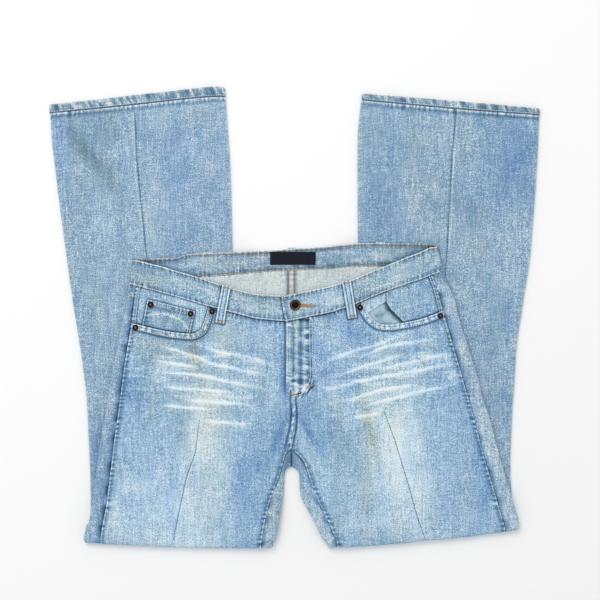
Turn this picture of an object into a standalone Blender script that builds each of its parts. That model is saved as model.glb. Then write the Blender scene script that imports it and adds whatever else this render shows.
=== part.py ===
"""Flare jeans, front up, with both legs folded back under the seat so that the hems lie beyond the waist.

Every panel is one closed wall of cloth. A panel's outer face is worked out on a grid of rows down the leg and
columns round it, and the wall is that face and its copy moved in by the cloth's thickness. Sizes are in
millimetres until the meshes are made: +X is to the right and +Y towards the hems as the jeans lie, +Z is up,
and the underside rests on z = 0.
"""

import math

import bmesh
import bpy
import numpy as np
from mathutils import Vector
from mathutils.bvhtree import BVHTree

MM = 0.001

# Cloth
DENIM = 1.2            # one layer of the leg panels and the yoke
BAND_WALL = 2.8        # the waistband: two layers and their turned edges
HEM_WALL = 2.0         # the hem: three layers, pressed flat
LOOP_WALL = 1.2
COIN_WALL = 1.0
LABEL_WALL = 1.0
SEAM_GAP = 0.3         # between two pieces at a seam, and between a piece and what it lies on
HALF_GAP = SEAM_GAP / 2
WAIST_GAP = 0.45       # from the waistband to the panels below it

# Heights of the stack
LOWER_HEIGHT = 4.8     # a lower leg, both layers
FOLD_GAP = 0.5         # from the fold's axis to the cloth on either side
AXIS_HEIGHT = LOWER_HEIGHT + FOLD_GAP
REST_HEIGHT = AXIS_HEIGHT + FOLD_GAP      # where the seat and thighs rest on a lower leg
LEG_HEIGHT = 5.8       # seat or thigh, both layers
FOLD_BULGE = 1.0       # the fold stands this much fuller than the flat layers
FOLD_REACH = FOLD_GAP + (LEG_HEIGHT + LOWER_HEIGHT) / 2 + FOLD_BULGE
BAND_HEIGHT = 6.6      # waistband, front and back layer
BAND_STEP = 0.8        # the yoke enters the waistband's edge this far in
WAIST_LIFT = 1.5       # room for the belt loops under the back waistband
OVERLAP_LIFT = BAND_WALL + SEAM_GAP       # buttonhole end over button end
FLY_LIFT = DENIM + SEAM_GAP               # right front over left front at the fly
HEM_HEIGHT = 5.4

# Rounded side edges of a flattened leg
LEG_EDGE = 3.5
LOWER_EDGE = 3.0
HEM_EDGE_ROUND = HEM_HEIGHT / 2
BAND_EDGE = BAND_HEIGHT / 2

# Fly, button and rivets
CENTRE = -4.5          # x of the rise seams
CROTCH = -183.0        # y where the four seams cross
SEAT_END = -209.0      # y where the seat seam turns under
FLY_EDGE = -11.5       # x of the right front's free edge
FLY_END = -104.0       # y where the fly closes
FLY_FLAT = 24.0        # x up to which the right front stays raised over the zip
FLY_FADE = 62.0
BUTTON_AT = (1.1, 16.9)
BUTTON_RADIUS = 7.5
RIVET_RADIUS = 4.15
LOOP_WIDTH = 12.0

# Grid counts
FRONT_COLUMNS = 17
SCOOP_COLUMNS = 9      # of them, how many lie on the pocket mouth
ROUND = np.radians([90, 45, 0, -45, -90])  # the angles of a rounded side edge, from the top to the underside
UNDER_COLUMNS = 8      # columns between the two rounded edges
END_COLUMNS = 8        # columns from there to the seat seam or the inseam
HEM_COLUMNS = 18

# Rows of a front panel, as shares of the way from the pocket mouth to the fold. One row ends at the crotch.
CROTCH_ROW = 0.56
FRONT_ROWS = (
    0.04, 0.08, 0.13, 0.19, 0.26, 0.33, 0.41, 0.49, CROTCH_ROW, 0.585, 0.62, 0.69, 0.76, 0.83, 0.90, 0.96,
)
BEND_TURNS = (90, 60, 30, 0, -30, -60, -90)
LOWER_ROWS = (0.04, 0.12, 0.22, 0.33, 0.44, 0.55, 0.65, 0.74, 0.81, 0.87, 0.93, 1.0)
LOOP_ROWS = (0.0, 0.12, 0.36, 0.58, 0.68, 0.76, 0.88, 1.0)
BLEND = 0.26           # the pocket mouth's shape fades out over this share of the way down


def table(columns, *rows):
    """A short table with one named column for each word of columns."""
    return {name: np.array(values, float) for name, values in zip(columns.split(), zip(*rows))}


# The side edges of the seat and thigh as they lie on top, and the side seam
THIGH = {
    "left": table(
        "y outer outseam",
        (46, -230.3, -220.0), (14, -234.5, -224.5), (-11, -240.5, -227.5), (-45, -247.5, -233.0),
        (-67, -253.0, -236.6), (-105, -259.0, -241.6), (-140, -264.6, -246.3), (-170, -270.0, -250.5),
        (-203, -274.6, -254.6), (-234, -278.8, -258.4), (-265, -283.3, -262.4), (-283, -285.5, -266.0),
        (-297, -289.5, -268.5), (-314, -295.5, -270.5),
    ),
    "right": table(
        "y outer outseam",
        (65, 206.4, 190.0), (42, 215.5, 198.0), (31, 221.0, 201.0), (8, 227.5, 207.0),
        (-18, 234.7, 214.4), (-39, 242.0, 220.5), (-64, 249.5, 228.0), (-91, 257.0, 235.5),
        (-115, 263.5, 242.5), (-140, 272.0, 249.5), (-161, 277.5, 255.0), (-182, 283.0, 260.5),
        (-214, 292.0, 269.6), (-246, 301.8, 279.2), (-279, 310.2, 289.0), (-296, 314.0, 294.0),
    ),
}

INSEAM = {
    "left": table(
        "y x",
        (CROTCH, CENTRE), (-189, -11.0), (-201, -15.3), (-217, -19.6), (-228, -24.0), (-255, -34.0),
        (-286, -41.5), (-323, -47.5),
    ),
    "right": table(
        "y x",
        (CROTCH, CENTRE), (-189, 2.1), (-198, 10.8), (-217, 18.6), (-234, 24.5), (-253, 32.1),
        (-285, 47.6), (-323, 62.5),
    ),
}

# The inner edge of each thigh, from the seat seam round the crotch and down to the fold
CROTCH_EDGE = {
    "left": [
        (CENTRE, SEAT_END), (-9.0, -210.7), (-12.6, -214.2), (-14.0, -219.8), (-14.2, -229.0),
        (-15.0, -242.0), (-17.0, -255.5), (-20.4, -281.0), (-25.0, -303.5), (-29.4, -321.0),
    ],
    "right": [
        (CENTRE, SEAT_END), (-0.5, -210.8), (3.6, -213.6), (6.2, -218.5), (6.6, -226.5), (6.0, -234.5),
        (6.6, -243.5), (9.8, -253.0), (16.4, -264.5), (30.9, -292.0), (45.4, -321.0),
    ],
}

# The lower legs: the knee is narrow, and the flare opens to the hem
LOWER = {
    "left": table(
        "y outer inner",
        (-314, -295.5, -32.0), (-297, -289.5, -38.5), (-265, -285.0, -50.5), (-224, -286.0, -60.0),
        (-184, -287.3, -68.3), (-116, -290.8, -79.0), (-67, -296.7, -83.5), (-32, -301.6, -85.3),
        (24, -310.8, -86.2), (90, -319.9, -87.0), (161, -329.3, -88.5), (223, -336.5, -91.0),
        (248, -339.5, -92.5), (300, -342.0, -96.3),
    ),
    "right": table(
        "y outer inner",
        (-314, 316.0, 47.5), (-296, 314.0, 52.5), (-279, 309.5, 57.0), (-246, 302.5, 64.0),
        (-215, 302.1, 71.0), (-184, 302.3, 76.3), (-116, 305.5, 86.1), (-72, 308.7, 89.5),
        (-18, 312.9, 90.0), (52, 325.5, 89.3), (130, 333.0, 88.3), (214, 338.8, 88.0),
        (268, 341.4, 89.2), (310, 342.6, 94.1),
    ),
}

FOLD_LINE = {
    "left": table("x y", (-297, -314.5), (-206, -320.0), (-100, -323.0), (-30, -322.3)),
    "right": table("x y", (45, -322.5), (120, -318.5), (183, -312.5), (257, -305.0), (315, -296.5)),
}
HEM_SEAM = {
    "left": table("x y", (-342.5, 284.2), (-221.3, 296.5), (-145, 304.8), (-118, 307.2), (-96.5, 307.4)),
    "right": table("x y", (94.0, 302.7), (226.7, 290.4), (342.5, 281.5)),
}
HEM_EDGE = {
    "left": table("x y", (-342.5, 296.5), (-221.9, 310.0), (-145, 318.6), (-118, 321.6), (-97.5, 320.8)),
    "right": table("x y", (94.0, 312.0), (217.7, 302.4), (342.5, 291.3)),
}
STRIP_AT_HEM = 14.0    # from a side edge to its seam on the underside, at the hem

# The waistband as it lies, its top edge and its lower seam
BAND = {
    "front_left": table(
        "top_x top_y low_x low_y",
        (12, 32.0, 12, -0.5), (-16, 29.7, -14, -5.0), (-36, 30.5, -35, -3.5), (-56, 32.5, -56, -1.0),
        (-78, 37.5, -76, 4.0), (-100, 44.0, -95, 9.0), (-133, 55.0, -128, 18.0), (-162, 63.2, -158, 27.0),
        (-191, 71.8, -190, 35.8), (-212, 77.0, -214, 42.3), (-218, 78.6, -223, 44.9),
    ),
    "back": table(
        "top_x top_y low_x low_y",
        (-214, 80.5, -216, 48.5), (-190, 81.2, -190, 51.5), (-165, 82.3, -165, 53.8), (-151, 86.4, -150, 55.0),
        (-121, 88.6, -121, 57.0), (-80, 90.2, -80, 60.0), (-40, 92.2, -40, 63.6), (0, 94.8, 0, 65.8),
        (43, 97.6, 43, 67.3), (89, 102.0, 89, 71.0), (135, 102.4, 135, 71.3), (165, 102.0, 168, 69.8),
        (190, 101.3, 194, 67.0),
    ),
    "front_right": table(
        "top_x top_y low_x low_y",
        (190, 96.8, 196, 60.8), (175, 90.2, 180, 54.6), (158, 83.8, 159, 47.6), (124, 69.8, 124, 34.8),
        (101, 60.8, 98, 24.3), (80, 51.6, 80, 16.5), (62, 46.3, 62, 10.5), (43, 41.2, 43, 5.2),
        (20, 36.6, 20, 0.8), (4, 33.2, 4, -2.6), (-18.6, 28.2, -12.4, -5.2),
    ),
}
BAND_SIDE = {"left": ((-224.6, 80.0), (-230.3, 46.2)), "right": ((199.4, 100.8), (206.4, 64.8))}
YOKE_SIDE = {"left": 28.0, "right": 47.0}   # y of the yoke seam at the side edge
YOKE_CENTRE = 4.0                           # and at the seat seam

# The pocket mouths, from the side seam down and round to the waistband
SCOOP = {
    "left": [
        (-225.6, -8.3), (-202.4, -14.1), (-179.2, -19.3), (-156.1, -22.3), (-138.6, -22.3),
        (-130.5, -17.6), (-124.7, -6.0), (-121.2, 5.6), (-119.0, 12.6),
    ],
    "right": [
        (206.3, 8.6), (176.3, -2.5), (153.0, -7.7), (130.9, -10.6), (116.9, -8.8), (107.7, -2.5),
        (100.8, 6.9), (95.6, 16.5), (93.8, 21.4),
    ],
}
FACING = {
    "left": {"edge": (-104.0, -104.0), "low_y": (-36.0, -46.0), "under": DENIM + COIN_WALL + 2 * SEAM_GAP,
             "rows": (0.0, 0.15, 0.4, 0.7, 1.0), "from_seam": True},
    "right": {"edge": (118.0, 162.0), "low_y": (-18.0, -30.0), "under": DENIM + SEAM_GAP,
              "rows": (0.0, 0.15, 0.4, 0.7, 1.0), "from_seam": True},
}
POCKET_BAG = {"outer": 172.0, "edge": (84.0, 84.0), "low_y": (-22.0, -24.0), "under": 2 * (DENIM + SEAM_GAP),
              "rows": (0.0, 0.3, 0.6, 1.0), "from_seam": False}
ZIP_CORNERS = ((-4.1, -8.5), (20.0, -8.5), (20.0, -100.0), (-4.1, -100.0))
COIN_CORNERS = ((-204.3, 24.8), (-138.6, 8.0), (-148.5, -36.0), (-215.0, -24.0))

# Belt loops: the middle of the top end and of the low end
FRONT_LOOPS = {
    "belt_loop_front_left": ((-94.3, 43.6), (-104.0, -8.3)),
    "belt_loop_front_right": ((72.1, 50.4), (80.8, -1.4)),
}
BACK_LOOPS = {
    "belt_loop_back_left": ((-120.0, 91.0), (-121.0, 38.0)),
    "belt_loop_back_centre": ((CENTRE, 97.0), (CENTRE, 43.0)),
    "belt_loop_back_right": ((120.0, 105.0), (121.0, 51.0)),
}
LABEL_SPAN = {"x": (-34.0, 29.5), "y": (91.0, 73.0)}

RIVETS = (
    ("rivet_coin_left", -200.2, 17.2),
    ("rivet_coin_right", -144.5, 4.5),
    ("rivet_left_side", -221.1, -14.7),
    ("rivet_left_band", -114.6, 8.0),
    ("rivet_right_band", 91.3, 13.2),
    ("rivet_right_side", 203.0, 1.8),
)

# Round metal, as radius and height
BUTTON_PROFILE = ((0, 0), (6.9, 0), (BUTTON_RADIUS, 0.8), (7.3, 1.9), (6.5, 2.3), (5.4, 1.8), (0, 2.2))
RIVET_PROFILE = ((0, 0), (RIVET_RADIUS, 0), (4.0, 0.8), (3.0, 1.2), (1.7, 0.7), (1.1, 1.3), (0, 1.4))

# A back panel's rows down the seat: the place on the outseam, as a front panel's rows, and y at the seat seam
HIP_ROWS = table(
    "share centre_y",
    (-0.1, YOKE_CENTRE), (-0.05, -10), (0.0, -26), (0.08, -50), (0.13, -68), (0.19, -90), (0.26, -116),
    (0.33, -145), (0.385, -174),
)
END_SPACING = np.array([1, 0.76, 0.56, 0.4, 0.27, 0.17, 0.08, 0])
# The rows that end where the seat seam turns over the crotch edge. A row comes near the edge at entry and crosses
# it at cross, both measured along it; gather draws its columns together there, and k0 to k7 say how far the last
# columns have turned over the edge (see over_edge).
CROTCH_ROWS = table(
    "share entry cross gather k0 k1 k2 k3 k4 k5 k6 k7",
    (0.420, 6, 3.0, 0.0, -13, -9.5, -7.0, -5.0, -3.6, -2.5, -1.7, -1),
    (0.440, 7, 3.0, 0.0, -13, -8.0, -5.2, -3.4, -2.2, -1.3, -0.6, 0),
    (0.460, 8, 3.0, 0.0, -13, -6.0, -3.5, -2.0, -1.0, -0.4, 0.3, 1),
    (0.480, 9, 3.5, 0.3, -13, -3.5, -1.6, -0.8, -0.2, 0.4, 1.0, 3),
    (0.505, 10, 4.5, 0.7, -13, -1.4, -0.8, -0.2, 0.4, 1.0, 4.0, 8),
    (0.530, 11, 6.2, 1.0, -13, -1.0, -0.5, 0.0, 0.5, 1.0, 8.0, 15.5),
)

# Base colours (linear), roughness, metallic
FRONT_BLUE = ((0.56, 0.63, 0.68), 0.9)
BACK_BLUE = ((0.30, 0.38, 0.45), 0.9)
BAND_BLUE = ((0.44, 0.51, 0.56), 0.9)
BAG_GREY = ((0.48, 0.48, 0.45), 0.9)
LABEL_BROWN = ((0.03, 0.03, 0.035), 0.8)
DARK_METAL = ((0.10, 0.09, 0.08), 0.45, 1.0)

# The largest folds: ridges above 0 and troughs below it
TOP_FOLDS = table(
    "x0 y0 x1 y1 width height",
    (20, -137, 104, -218, 13, 1.3), (6, -160, 60, -250, 10, -0.8), (-60, -95, -24, -168, 13, 1.0),
    (-150, -78, -30, -100, 10, 0.6), (70, -62, 205, -36, 10, 0.6), (-215, -110, -196, -290, 16, 0.8),
    (215, -170, 236, -285, 14, 0.8), (-62, -225, -88, -312, 15, 0.9), (96, -240, 128, -306, 15, 0.8),
)
LOWER_FOLDS = table(
    "x0 y0 x1 y1 width height",
    (-256, 274, -325, 171, 12, 1.2), (-300, 262, -232, 214, 12, -0.6), (-160, 245, -120, 170, 14, 0.6),
    (300, 245, 322, 160, 14, 1.0), (150, 262, 118, 180, 14, 0.7), (262, 170, 292, 110, 13, -0.5),
)
LEG_SEAM = 0.465       # share of a front panel's width, from its outseam, where the leg's middle seam runs
SEAM_RIDGE = 0.5
SEAM_RIDGE_HALF = 3.0


def read(chart, column, at, key="y"):
    """A column's value at a place along the key column, on a smooth curve through the rows."""
    keys, values = chart[key], chart[column]
    if keys[0] > keys[-1]:
        keys, values = keys[::-1], values[::-1]
    at = np.asarray(at, float)
    slopes = np.gradient(values, keys)
    low = np.clip(np.searchsorted(keys, at) - 1, 0, len(keys) - 2)
    span = keys[low + 1] - keys[low]
    free = (at - keys[low]) / span
    t = np.clip(free, 0, 1)
    curve = (
        (2 * t**3 - 3 * t**2 + 1) * values[low]
        + (t**3 - 2 * t**2 + t) * span * slopes[low]
        + (3 * t**2 - 2 * t**3) * values[low + 1]
        + (t**3 - t**2) * span * slopes[low + 1]
    )
    ends = np.where(free > 1, slopes[low + 1], slopes[low])
    return curve + ends * (free - t) * span


def path(points):
    """A table of x and y against the distance s walked along the points."""
    points = np.array(points, float)
    steps = np.linalg.norm(np.diff(points, axis=0), axis=1)
    return {"s": np.concatenate([[0], np.cumsum(steps)]), "x": points[:, 0], "y": points[:, 1]}


def on_path(route, s):
    return np.stack([read(route, "x", s, "s"), read(route, "y", s, "s")], axis=-1)


def smooth(t):
    t = np.clip(t, 0, 1)
    return t * t * (3 - 2 * t)


def mix(a, b, t):
    return a + (b - a) * t


def folds(chart, x, y):
    """The height that the listed folds add at a place."""
    total = np.zeros(np.broadcast(x, y).shape)
    for x0, y0, x1, y1, width, height in zip(*(chart[name] for name in "x0 y0 x1 y1 width height".split())):
        run = np.array([x1 - x0, y1 - y0])
        length = np.linalg.norm(run)
        run = run / length
        along = (x - x0) * run[0] + (y - y0) * run[1]
        across = (y - y0) * run[0] - (x - x0) * run[1]
        ends = smooth(along / (0.35 * length)) * smooth((length - along) / (0.35 * length))
        total = total + height * ends * np.exp(-((across / width) ** 2))
    return total


def support(x, y):
    """The height of what the seat and thighs lie on: the lower legs, and between them the floor."""
    beyond_left = x - read(LOWER["left"], "inner", y)
    beyond_right = read(LOWER["right"], "inner", y) - x
    beyond = np.minimum(beyond_left, beyond_right)
    sag = smooth((beyond - 14) / 34)
    near_fold = np.where(x < CENTRE, read(FOLD_LINE["left"], "y", np.minimum(x, -30), "x"),
                         read(FOLD_LINE["right"], "y", np.maximum(x, 45), "x"))
    return REST_HEIGHT * (1 - sag * smooth((y - near_fold - 15) / 60))


def seat_under(x, y):
    """The outer face of the back, underneath: lifted a little towards the waist by the belt loops."""
    return support(x, y) + WAIST_LIFT * smooth((y + 12) / 52)


def seat_top(x, y):
    """The outer face of the front."""
    return seat_under(x, y) + LEG_HEIGHT + folds(TOP_FOLDS, x, y)


def band_under(x, y):
    return support(x, y) + WAIST_LIFT


def band_top(x, y):
    return band_under(x, y) + BAND_HEIGHT


def overlap_lift(x):
    return OVERLAP_LIFT * smooth((64 - x) / 44)


def fly_lift(x, y):
    across = 1 - smooth((x - FLY_FLAT) / (FLY_FADE - FLY_FLAT))
    return FLY_LIFT * across * smooth((y - FLY_END + 22) / 20)


def band_low(side, x):
    """The waistband's lower seam at x, on the front or on the back."""
    chart = BAND[side]
    points = {"x": chart["low_x"], "y": chart["low_y"]}
    return read(points, "y", x, "x")


def slab(name, outer, wall, colour, closed=False, faces_up=True):
    """One closed wall of cloth: the outer face as a grid of quads, made solid inwards by the cloth's thickness.
    The grid's first quad faces up, or down with faces_up False."""
    outer = np.asarray(outer, float)
    first = np.cross(outer[0, 1] - outer[0, 0], outer[1, 0] - outer[0, 0])
    if (first[2] > 0) != faces_up:
        outer = outer[::-1]
    rows, columns = outer.shape[:2]
    faces = []
    for i in range(rows - 1):
        for j in range(columns if closed else columns - 1):
            k = (j + 1) % columns
            faces.append((i * columns + j, i * columns + k, (i + 1) * columns + k, (i + 1) * columns + j))
    made = mesh_object(name, outer.reshape(-1, 3), faces, colour)
    thick = made.modifiers.new("wall", "SOLIDIFY")
    thick.thickness = wall * MM
    thick.offset = -1.0
    thick.use_rim = True
    thick.use_even_offset = False
    return made


def mesh_object(name, points, faces, colour):
    mesh = bpy.data.meshes.new(name)
    mesh.from_pydata((np.asarray(points) * MM).tolist(), [], faces)
    mesh.shade_smooth()
    made = bpy.data.objects.new(name, mesh)
    made.data.materials.append(paint(name, *colour))
    bpy.context.scene.collection.objects.link(made)
    return made


def turned(name, centre, profile, colour):
    """A round piece: its profile of radius and height spun about a vertical axis."""
    work = bmesh.new()
    points = [work.verts.new((radius * MM, 0, height * MM)) for radius, height in profile]
    edges = [work.edges.new(pair) for pair in zip(points, points[1:])]
    bmesh.ops.spin(work, geom=points + edges, cent=(0, 0, 0), axis=(0, 0, 1), angle=2 * math.pi, steps=20)
    bmesh.ops.remove_doubles(work, verts=work.verts, dist=1e-6)
    bmesh.ops.translate(work, vec=Vector(centre) * MM, verts=work.verts)
    bmesh.ops.recalc_face_normals(work, faces=work.faces)
    mesh = bpy.data.meshes.new(name)
    work.to_mesh(mesh)
    work.free()
    mesh.shade_smooth()
    made = bpy.data.objects.new(name, mesh)
    made.data.materials.append(paint(name, *colour))
    bpy.context.scene.collection.objects.link(made)
    return made


def paint(name, colour, roughness, metallic=0.0):
    made = bpy.data.materials.new(name)
    made.use_nodes = True
    shader = made.node_tree.nodes["Principled BSDF"]
    shader.inputs["Base Color"].default_value = (*colour, 1)
    shader.inputs["Roughness"].default_value = roughness
    shader.inputs["Metallic"].default_value = metallic
    return made


class Ground:
    """The outer faces that a small piece lies on."""

    def __init__(self, *grids):
        self.trees = []
        for grid in grids:
            rows, columns = grid.shape[:2]
            faces = [
                (i * columns + j, i * columns + j + 1, (i + 1) * columns + j + 1, (i + 1) * columns + j)
                for i in range(rows - 1)
                for j in range(columns - 1)
            ]
            self.trees.append(BVHTree.FromPolygons([tuple(p) for p in grid.reshape(-1, 3)], faces))

    def height(self, x, y, reach=0.0):
        """The highest face under a place, and under the places within reach of it."""
        found = []
        for dx, dy in ((0, 0), (reach, 0), (-reach, 0), (0, reach), (0, -reach)):
            for tree in self.trees:
                hit = tree.ray_cast(Vector((x + dx, y + dy, 100)), Vector((0, 0, -1)))[0]
                if hit is not None:
                    found.append(hit.z)
        return max(found)


class Leg:
    """One leg's curves and surfaces. side is -1 for the left leg and +1 for the right."""

    def __init__(self, name):
        self.name = name
        self.side = -1 if name == "left" else 1
        self.edge = path(CROTCH_EDGE[name])
        seam_x = (self.outseam(-300.0), self.inseam(-316.0))
        self.fold_start = [float(self.fold_y(x)) + FOLD_REACH for x in seam_x]
        self.fold_seams = [float(self.outseam(self.fold_start[0])), float(self.inseam(self.fold_start[1]))]
        ends = self.nearest_edge((self.fold_seams[1], self.fold_start[1]))
        self.fold_edges = [float(read(THIGH[name], "outer", self.fold_start[0])), float(on_path(self.edge, ends[0])[0])]
        self.strips = [abs(a - b) for a, b in zip(self.fold_seams, self.fold_edges)]
        self.side_top = BAND_SIDE[name][1][1]
        for _ in range(20):
            self.side_top = float(self.waist(self.outseam(self.side_top)))

    def fold_y(self, x):
        return read(FOLD_LINE[self.name], "y", x, "x")

    def outseam(self, y):
        return read(THIGH[self.name], "outseam", y)

    def inseam(self, y):
        return read(INSEAM[self.name], "x", y)

    def waist(self, x):
        """y of the front's top edge, just below the waistband."""
        return band_low("front_" + self.name, x) - WAIST_GAP

    def seat(self, x, y, share):
        """A point of the seat or thigh: share 0 is the underside and 1 the top."""
        return np.stack([x, y, mix(seat_under(x, y), seat_top(x, y), share)], axis=-1)

    def bend(self, x, turn, share):
        """A point on the fold: turn runs from 90 on top to -90 below, share from 0 at the back to 1 at the front."""
        angle = np.radians(turn)
        height = mix(LOWER_HEIGHT, LEG_HEIGHT, (turn + 90) / 180) + FOLD_BULGE * np.cos(angle)
        radius = FOLD_GAP + share * height * np.ones(len(x))
        y = self.fold_y(x) + FOLD_REACH - radius * np.cos(angle)
        return np.stack([x, y, AXIS_HEIGHT + radius * np.sin(angle)], axis=-1)

    def lower(self, x, y, share):
        """A point of the lower leg, where the front (share 1) lies on the floor and the back (share 0) on top."""
        middle = (read(LOWER[self.name], "outer", y) + read(LOWER[self.name], "inner", y)) / 2
        ridge = SEAM_RIDGE * smooth((y - 60) / 60) * np.clip(1 - np.abs(x - middle) / SEAM_RIDGE_HALF, 0, 1)
        return np.stack([x, y, (LOWER_HEIGHT + folds(LOWER_FOLDS, x, y) + ridge) * (1 - share)], axis=-1)

    def lower_edges(self, share):
        """x of the lower leg's side edges and of its seams, at a share of the way from the fold to the hem."""
        edges, seams = [], []
        for k, column in enumerate(("outer", "inner")):
            hem_y = float(read(HEM_SEAM[self.name], "y", LOWER[self.name][column][-1], "x"))
            edge = float(read(LOWER[self.name], column, mix(self.fold_start[k], hem_y, share)))
            into = -self.side if k == 0 else self.side
            edges.append(edge)
            seams.append(edge + into * mix(self.strips[k], STRIP_AT_HEM, share))
        return edges, seams

    def lower_y(self, x, share):
        return mix(self.fold_y(x) + FOLD_REACH, read(HEM_SEAM[self.name], "y", x, "x") - HALF_GAP, share)

    def edge_normal(self, s):
        """The plan direction out of the cloth, at a distance along the crotch edge. It is -Y at the seat seam."""
        ahead = on_path(self.edge, s + 1.0) - on_path(self.edge, np.maximum(s, 1.0) - 1.0)
        turn = np.stack([-ahead[..., 1], ahead[..., 0]], axis=-1) * -self.side
        turn /= np.linalg.norm(turn, axis=-1, keepdims=True)
        made = mix(np.array([0.0, -1.0]), turn, smooth(s / 7.0)[..., None])
        return made / np.linalg.norm(made, axis=-1, keepdims=True)

    def over_edge(self, s, over):
        """Places beside the crotch edge and their shares. over is -1 where the rounding starts below, 0 on the
        edge, 1 where it ends on top, and each further 1 is a millimetre."""
        round_part = np.clip(over, -1, 1) * np.pi / 2
        inset = LEG_EDGE * (1 - np.cos(round_part)) + np.maximum(np.abs(over) - 1, 0)
        plan = on_path(self.edge, s) - self.edge_normal(s) * inset[..., None]
        plan[..., 0] += self.side * HALF_GAP * (1 - smooth(s / 5.0))
        return plan, (1 + np.sin(round_part)) / 2

    def nearest_edge(self, point):
        """How far along the crotch edge the place nearest to a point is, and its distance from the point."""
        s = np.linspace(0, self.edge["s"][-1], 600)
        away = np.linalg.norm(on_path(self.edge, s) - np.array(point), axis=1)
        return float(s[away.argmin()]), float(away.min())


def front_top_edge(leg):
    """The top edge of a front panel: along the pocket mouth, then along the waistband to the centre front."""
    mouth = path(SCOOP[leg.name])
    edge = on_path(mouth, np.linspace(0, mouth["s"][-1], SCOOP_COLUMNS))
    edge[-1, 1] = leg.waist(edge[-1, 0])
    x = np.linspace(edge[-1, 0], float(centre_front(leg, 0.0)), FRONT_COLUMNS - SCOOP_COLUMNS + 1)[1:]
    return np.concatenate([edge, np.stack([x, leg.waist(x)], axis=-1)])


def centre_front(leg, y):
    """x of a front's centre edge. The right front runs on over the left one as far as the fly is open."""
    if leg.side > 0:
        return mix(CENTRE + HALF_GAP, FLY_EDGE, smooth((y - FLY_END) / 12))
    return mix(CENTRE - HALF_GAP, CENTRE - 1.0, smooth((y - FLY_END + 20) / 20))


def front_grid(leg):
    """The outer face of a front panel: a row at a time from the pocket mouth, round the fold and on to the hem."""
    edge = front_top_edge(leg)
    even = np.linspace(0, 1, FRONT_COLUMNS)
    middle = int(round(LEG_SEAM * (FRONT_COLUMNS - 1)))
    pulled = even.copy()
    pulled[middle - 1:middle + 2] = LEG_SEAM + np.array([-0.015, 0, 0.015])
    away = edge - mix(edge[0], edge[-1], even[:, None])
    rows = []
    for share in (0.0, *FRONT_ROWS):
        outer_y = mix(edge[0, 1], leg.fold_start[0], share)
        if share < CROTCH_ROW:
            inner_y = mix(edge[-1, 1], CROTCH, share / CROTCH_ROW)
            inner_x = centre_front(leg, inner_y)
        else:
            inner_y = mix(CROTCH, leg.fold_start[1], (share - CROTCH_ROW) / (1 - CROTCH_ROW))
            inner_x = leg.inseam(inner_y) + leg.side * HALF_GAP
        outer_x = leg.outseam(outer_y) - leg.side * HALF_GAP
        at = mix(even, pulled, smooth((share - 0.2) / 0.2))
        fade = max(0.0, 1 - share / BLEND) ** 2
        x = mix(float(outer_x), float(inner_x), at) + away[:, 0] * fade
        y = mix(outer_y, inner_y, at) + away[:, 1] * fade
        row = leg.seat(x, y, 1.0)
        if leg.side > 0:
            row[:, 2] += fly_lift(x, y)
        row[middle, 2] += SEAM_RIDGE * smooth((share - 0.4) / 0.15)
        rows.append(row)
    for turn in BEND_TURNS:
        outer_x, inner_x = fold_seams(leg, turn)
        x = mix(outer_x - leg.side * HALF_GAP, inner_x + leg.side * HALF_GAP, pulled)
        row = leg.bend(x, turn, 1.0)
        row[middle, 2] += SEAM_RIDGE * smooth((turn - 20) / 60)
        rows.append(row)
    for share in LOWER_ROWS:
        outer_x, inner_x = leg.lower_edges(share)[1]
        x = mix(outer_x - leg.side * HALF_GAP, inner_x + leg.side * HALF_GAP, pulled)
        rows.append(leg.lower(x, leg.lower_y(x, share), 1.0))
    return np.array(rows)


def fold_seams(leg, turn):
    return [mix(a, b, (90 - turn) / 180) for a, b in zip(leg.fold_seams, leg.lower_edges(0.0)[1])]


def outer_end(edge_x, seam_x, side, edge_round):
    """x and share of a back panel's columns from the outseam on top, over the side edge, to the underside."""
    start = edge_x - side * edge_round
    seam_x = seam_x + side * HALF_GAP
    x = np.concatenate([[seam_x, (seam_x + start) / 2], edge_x - side * edge_round * (1 - np.cos(ROUND))])
    share = np.concatenate([[1, 1], (1 + np.sin(ROUND)) / 2])
    return x, share


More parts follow.
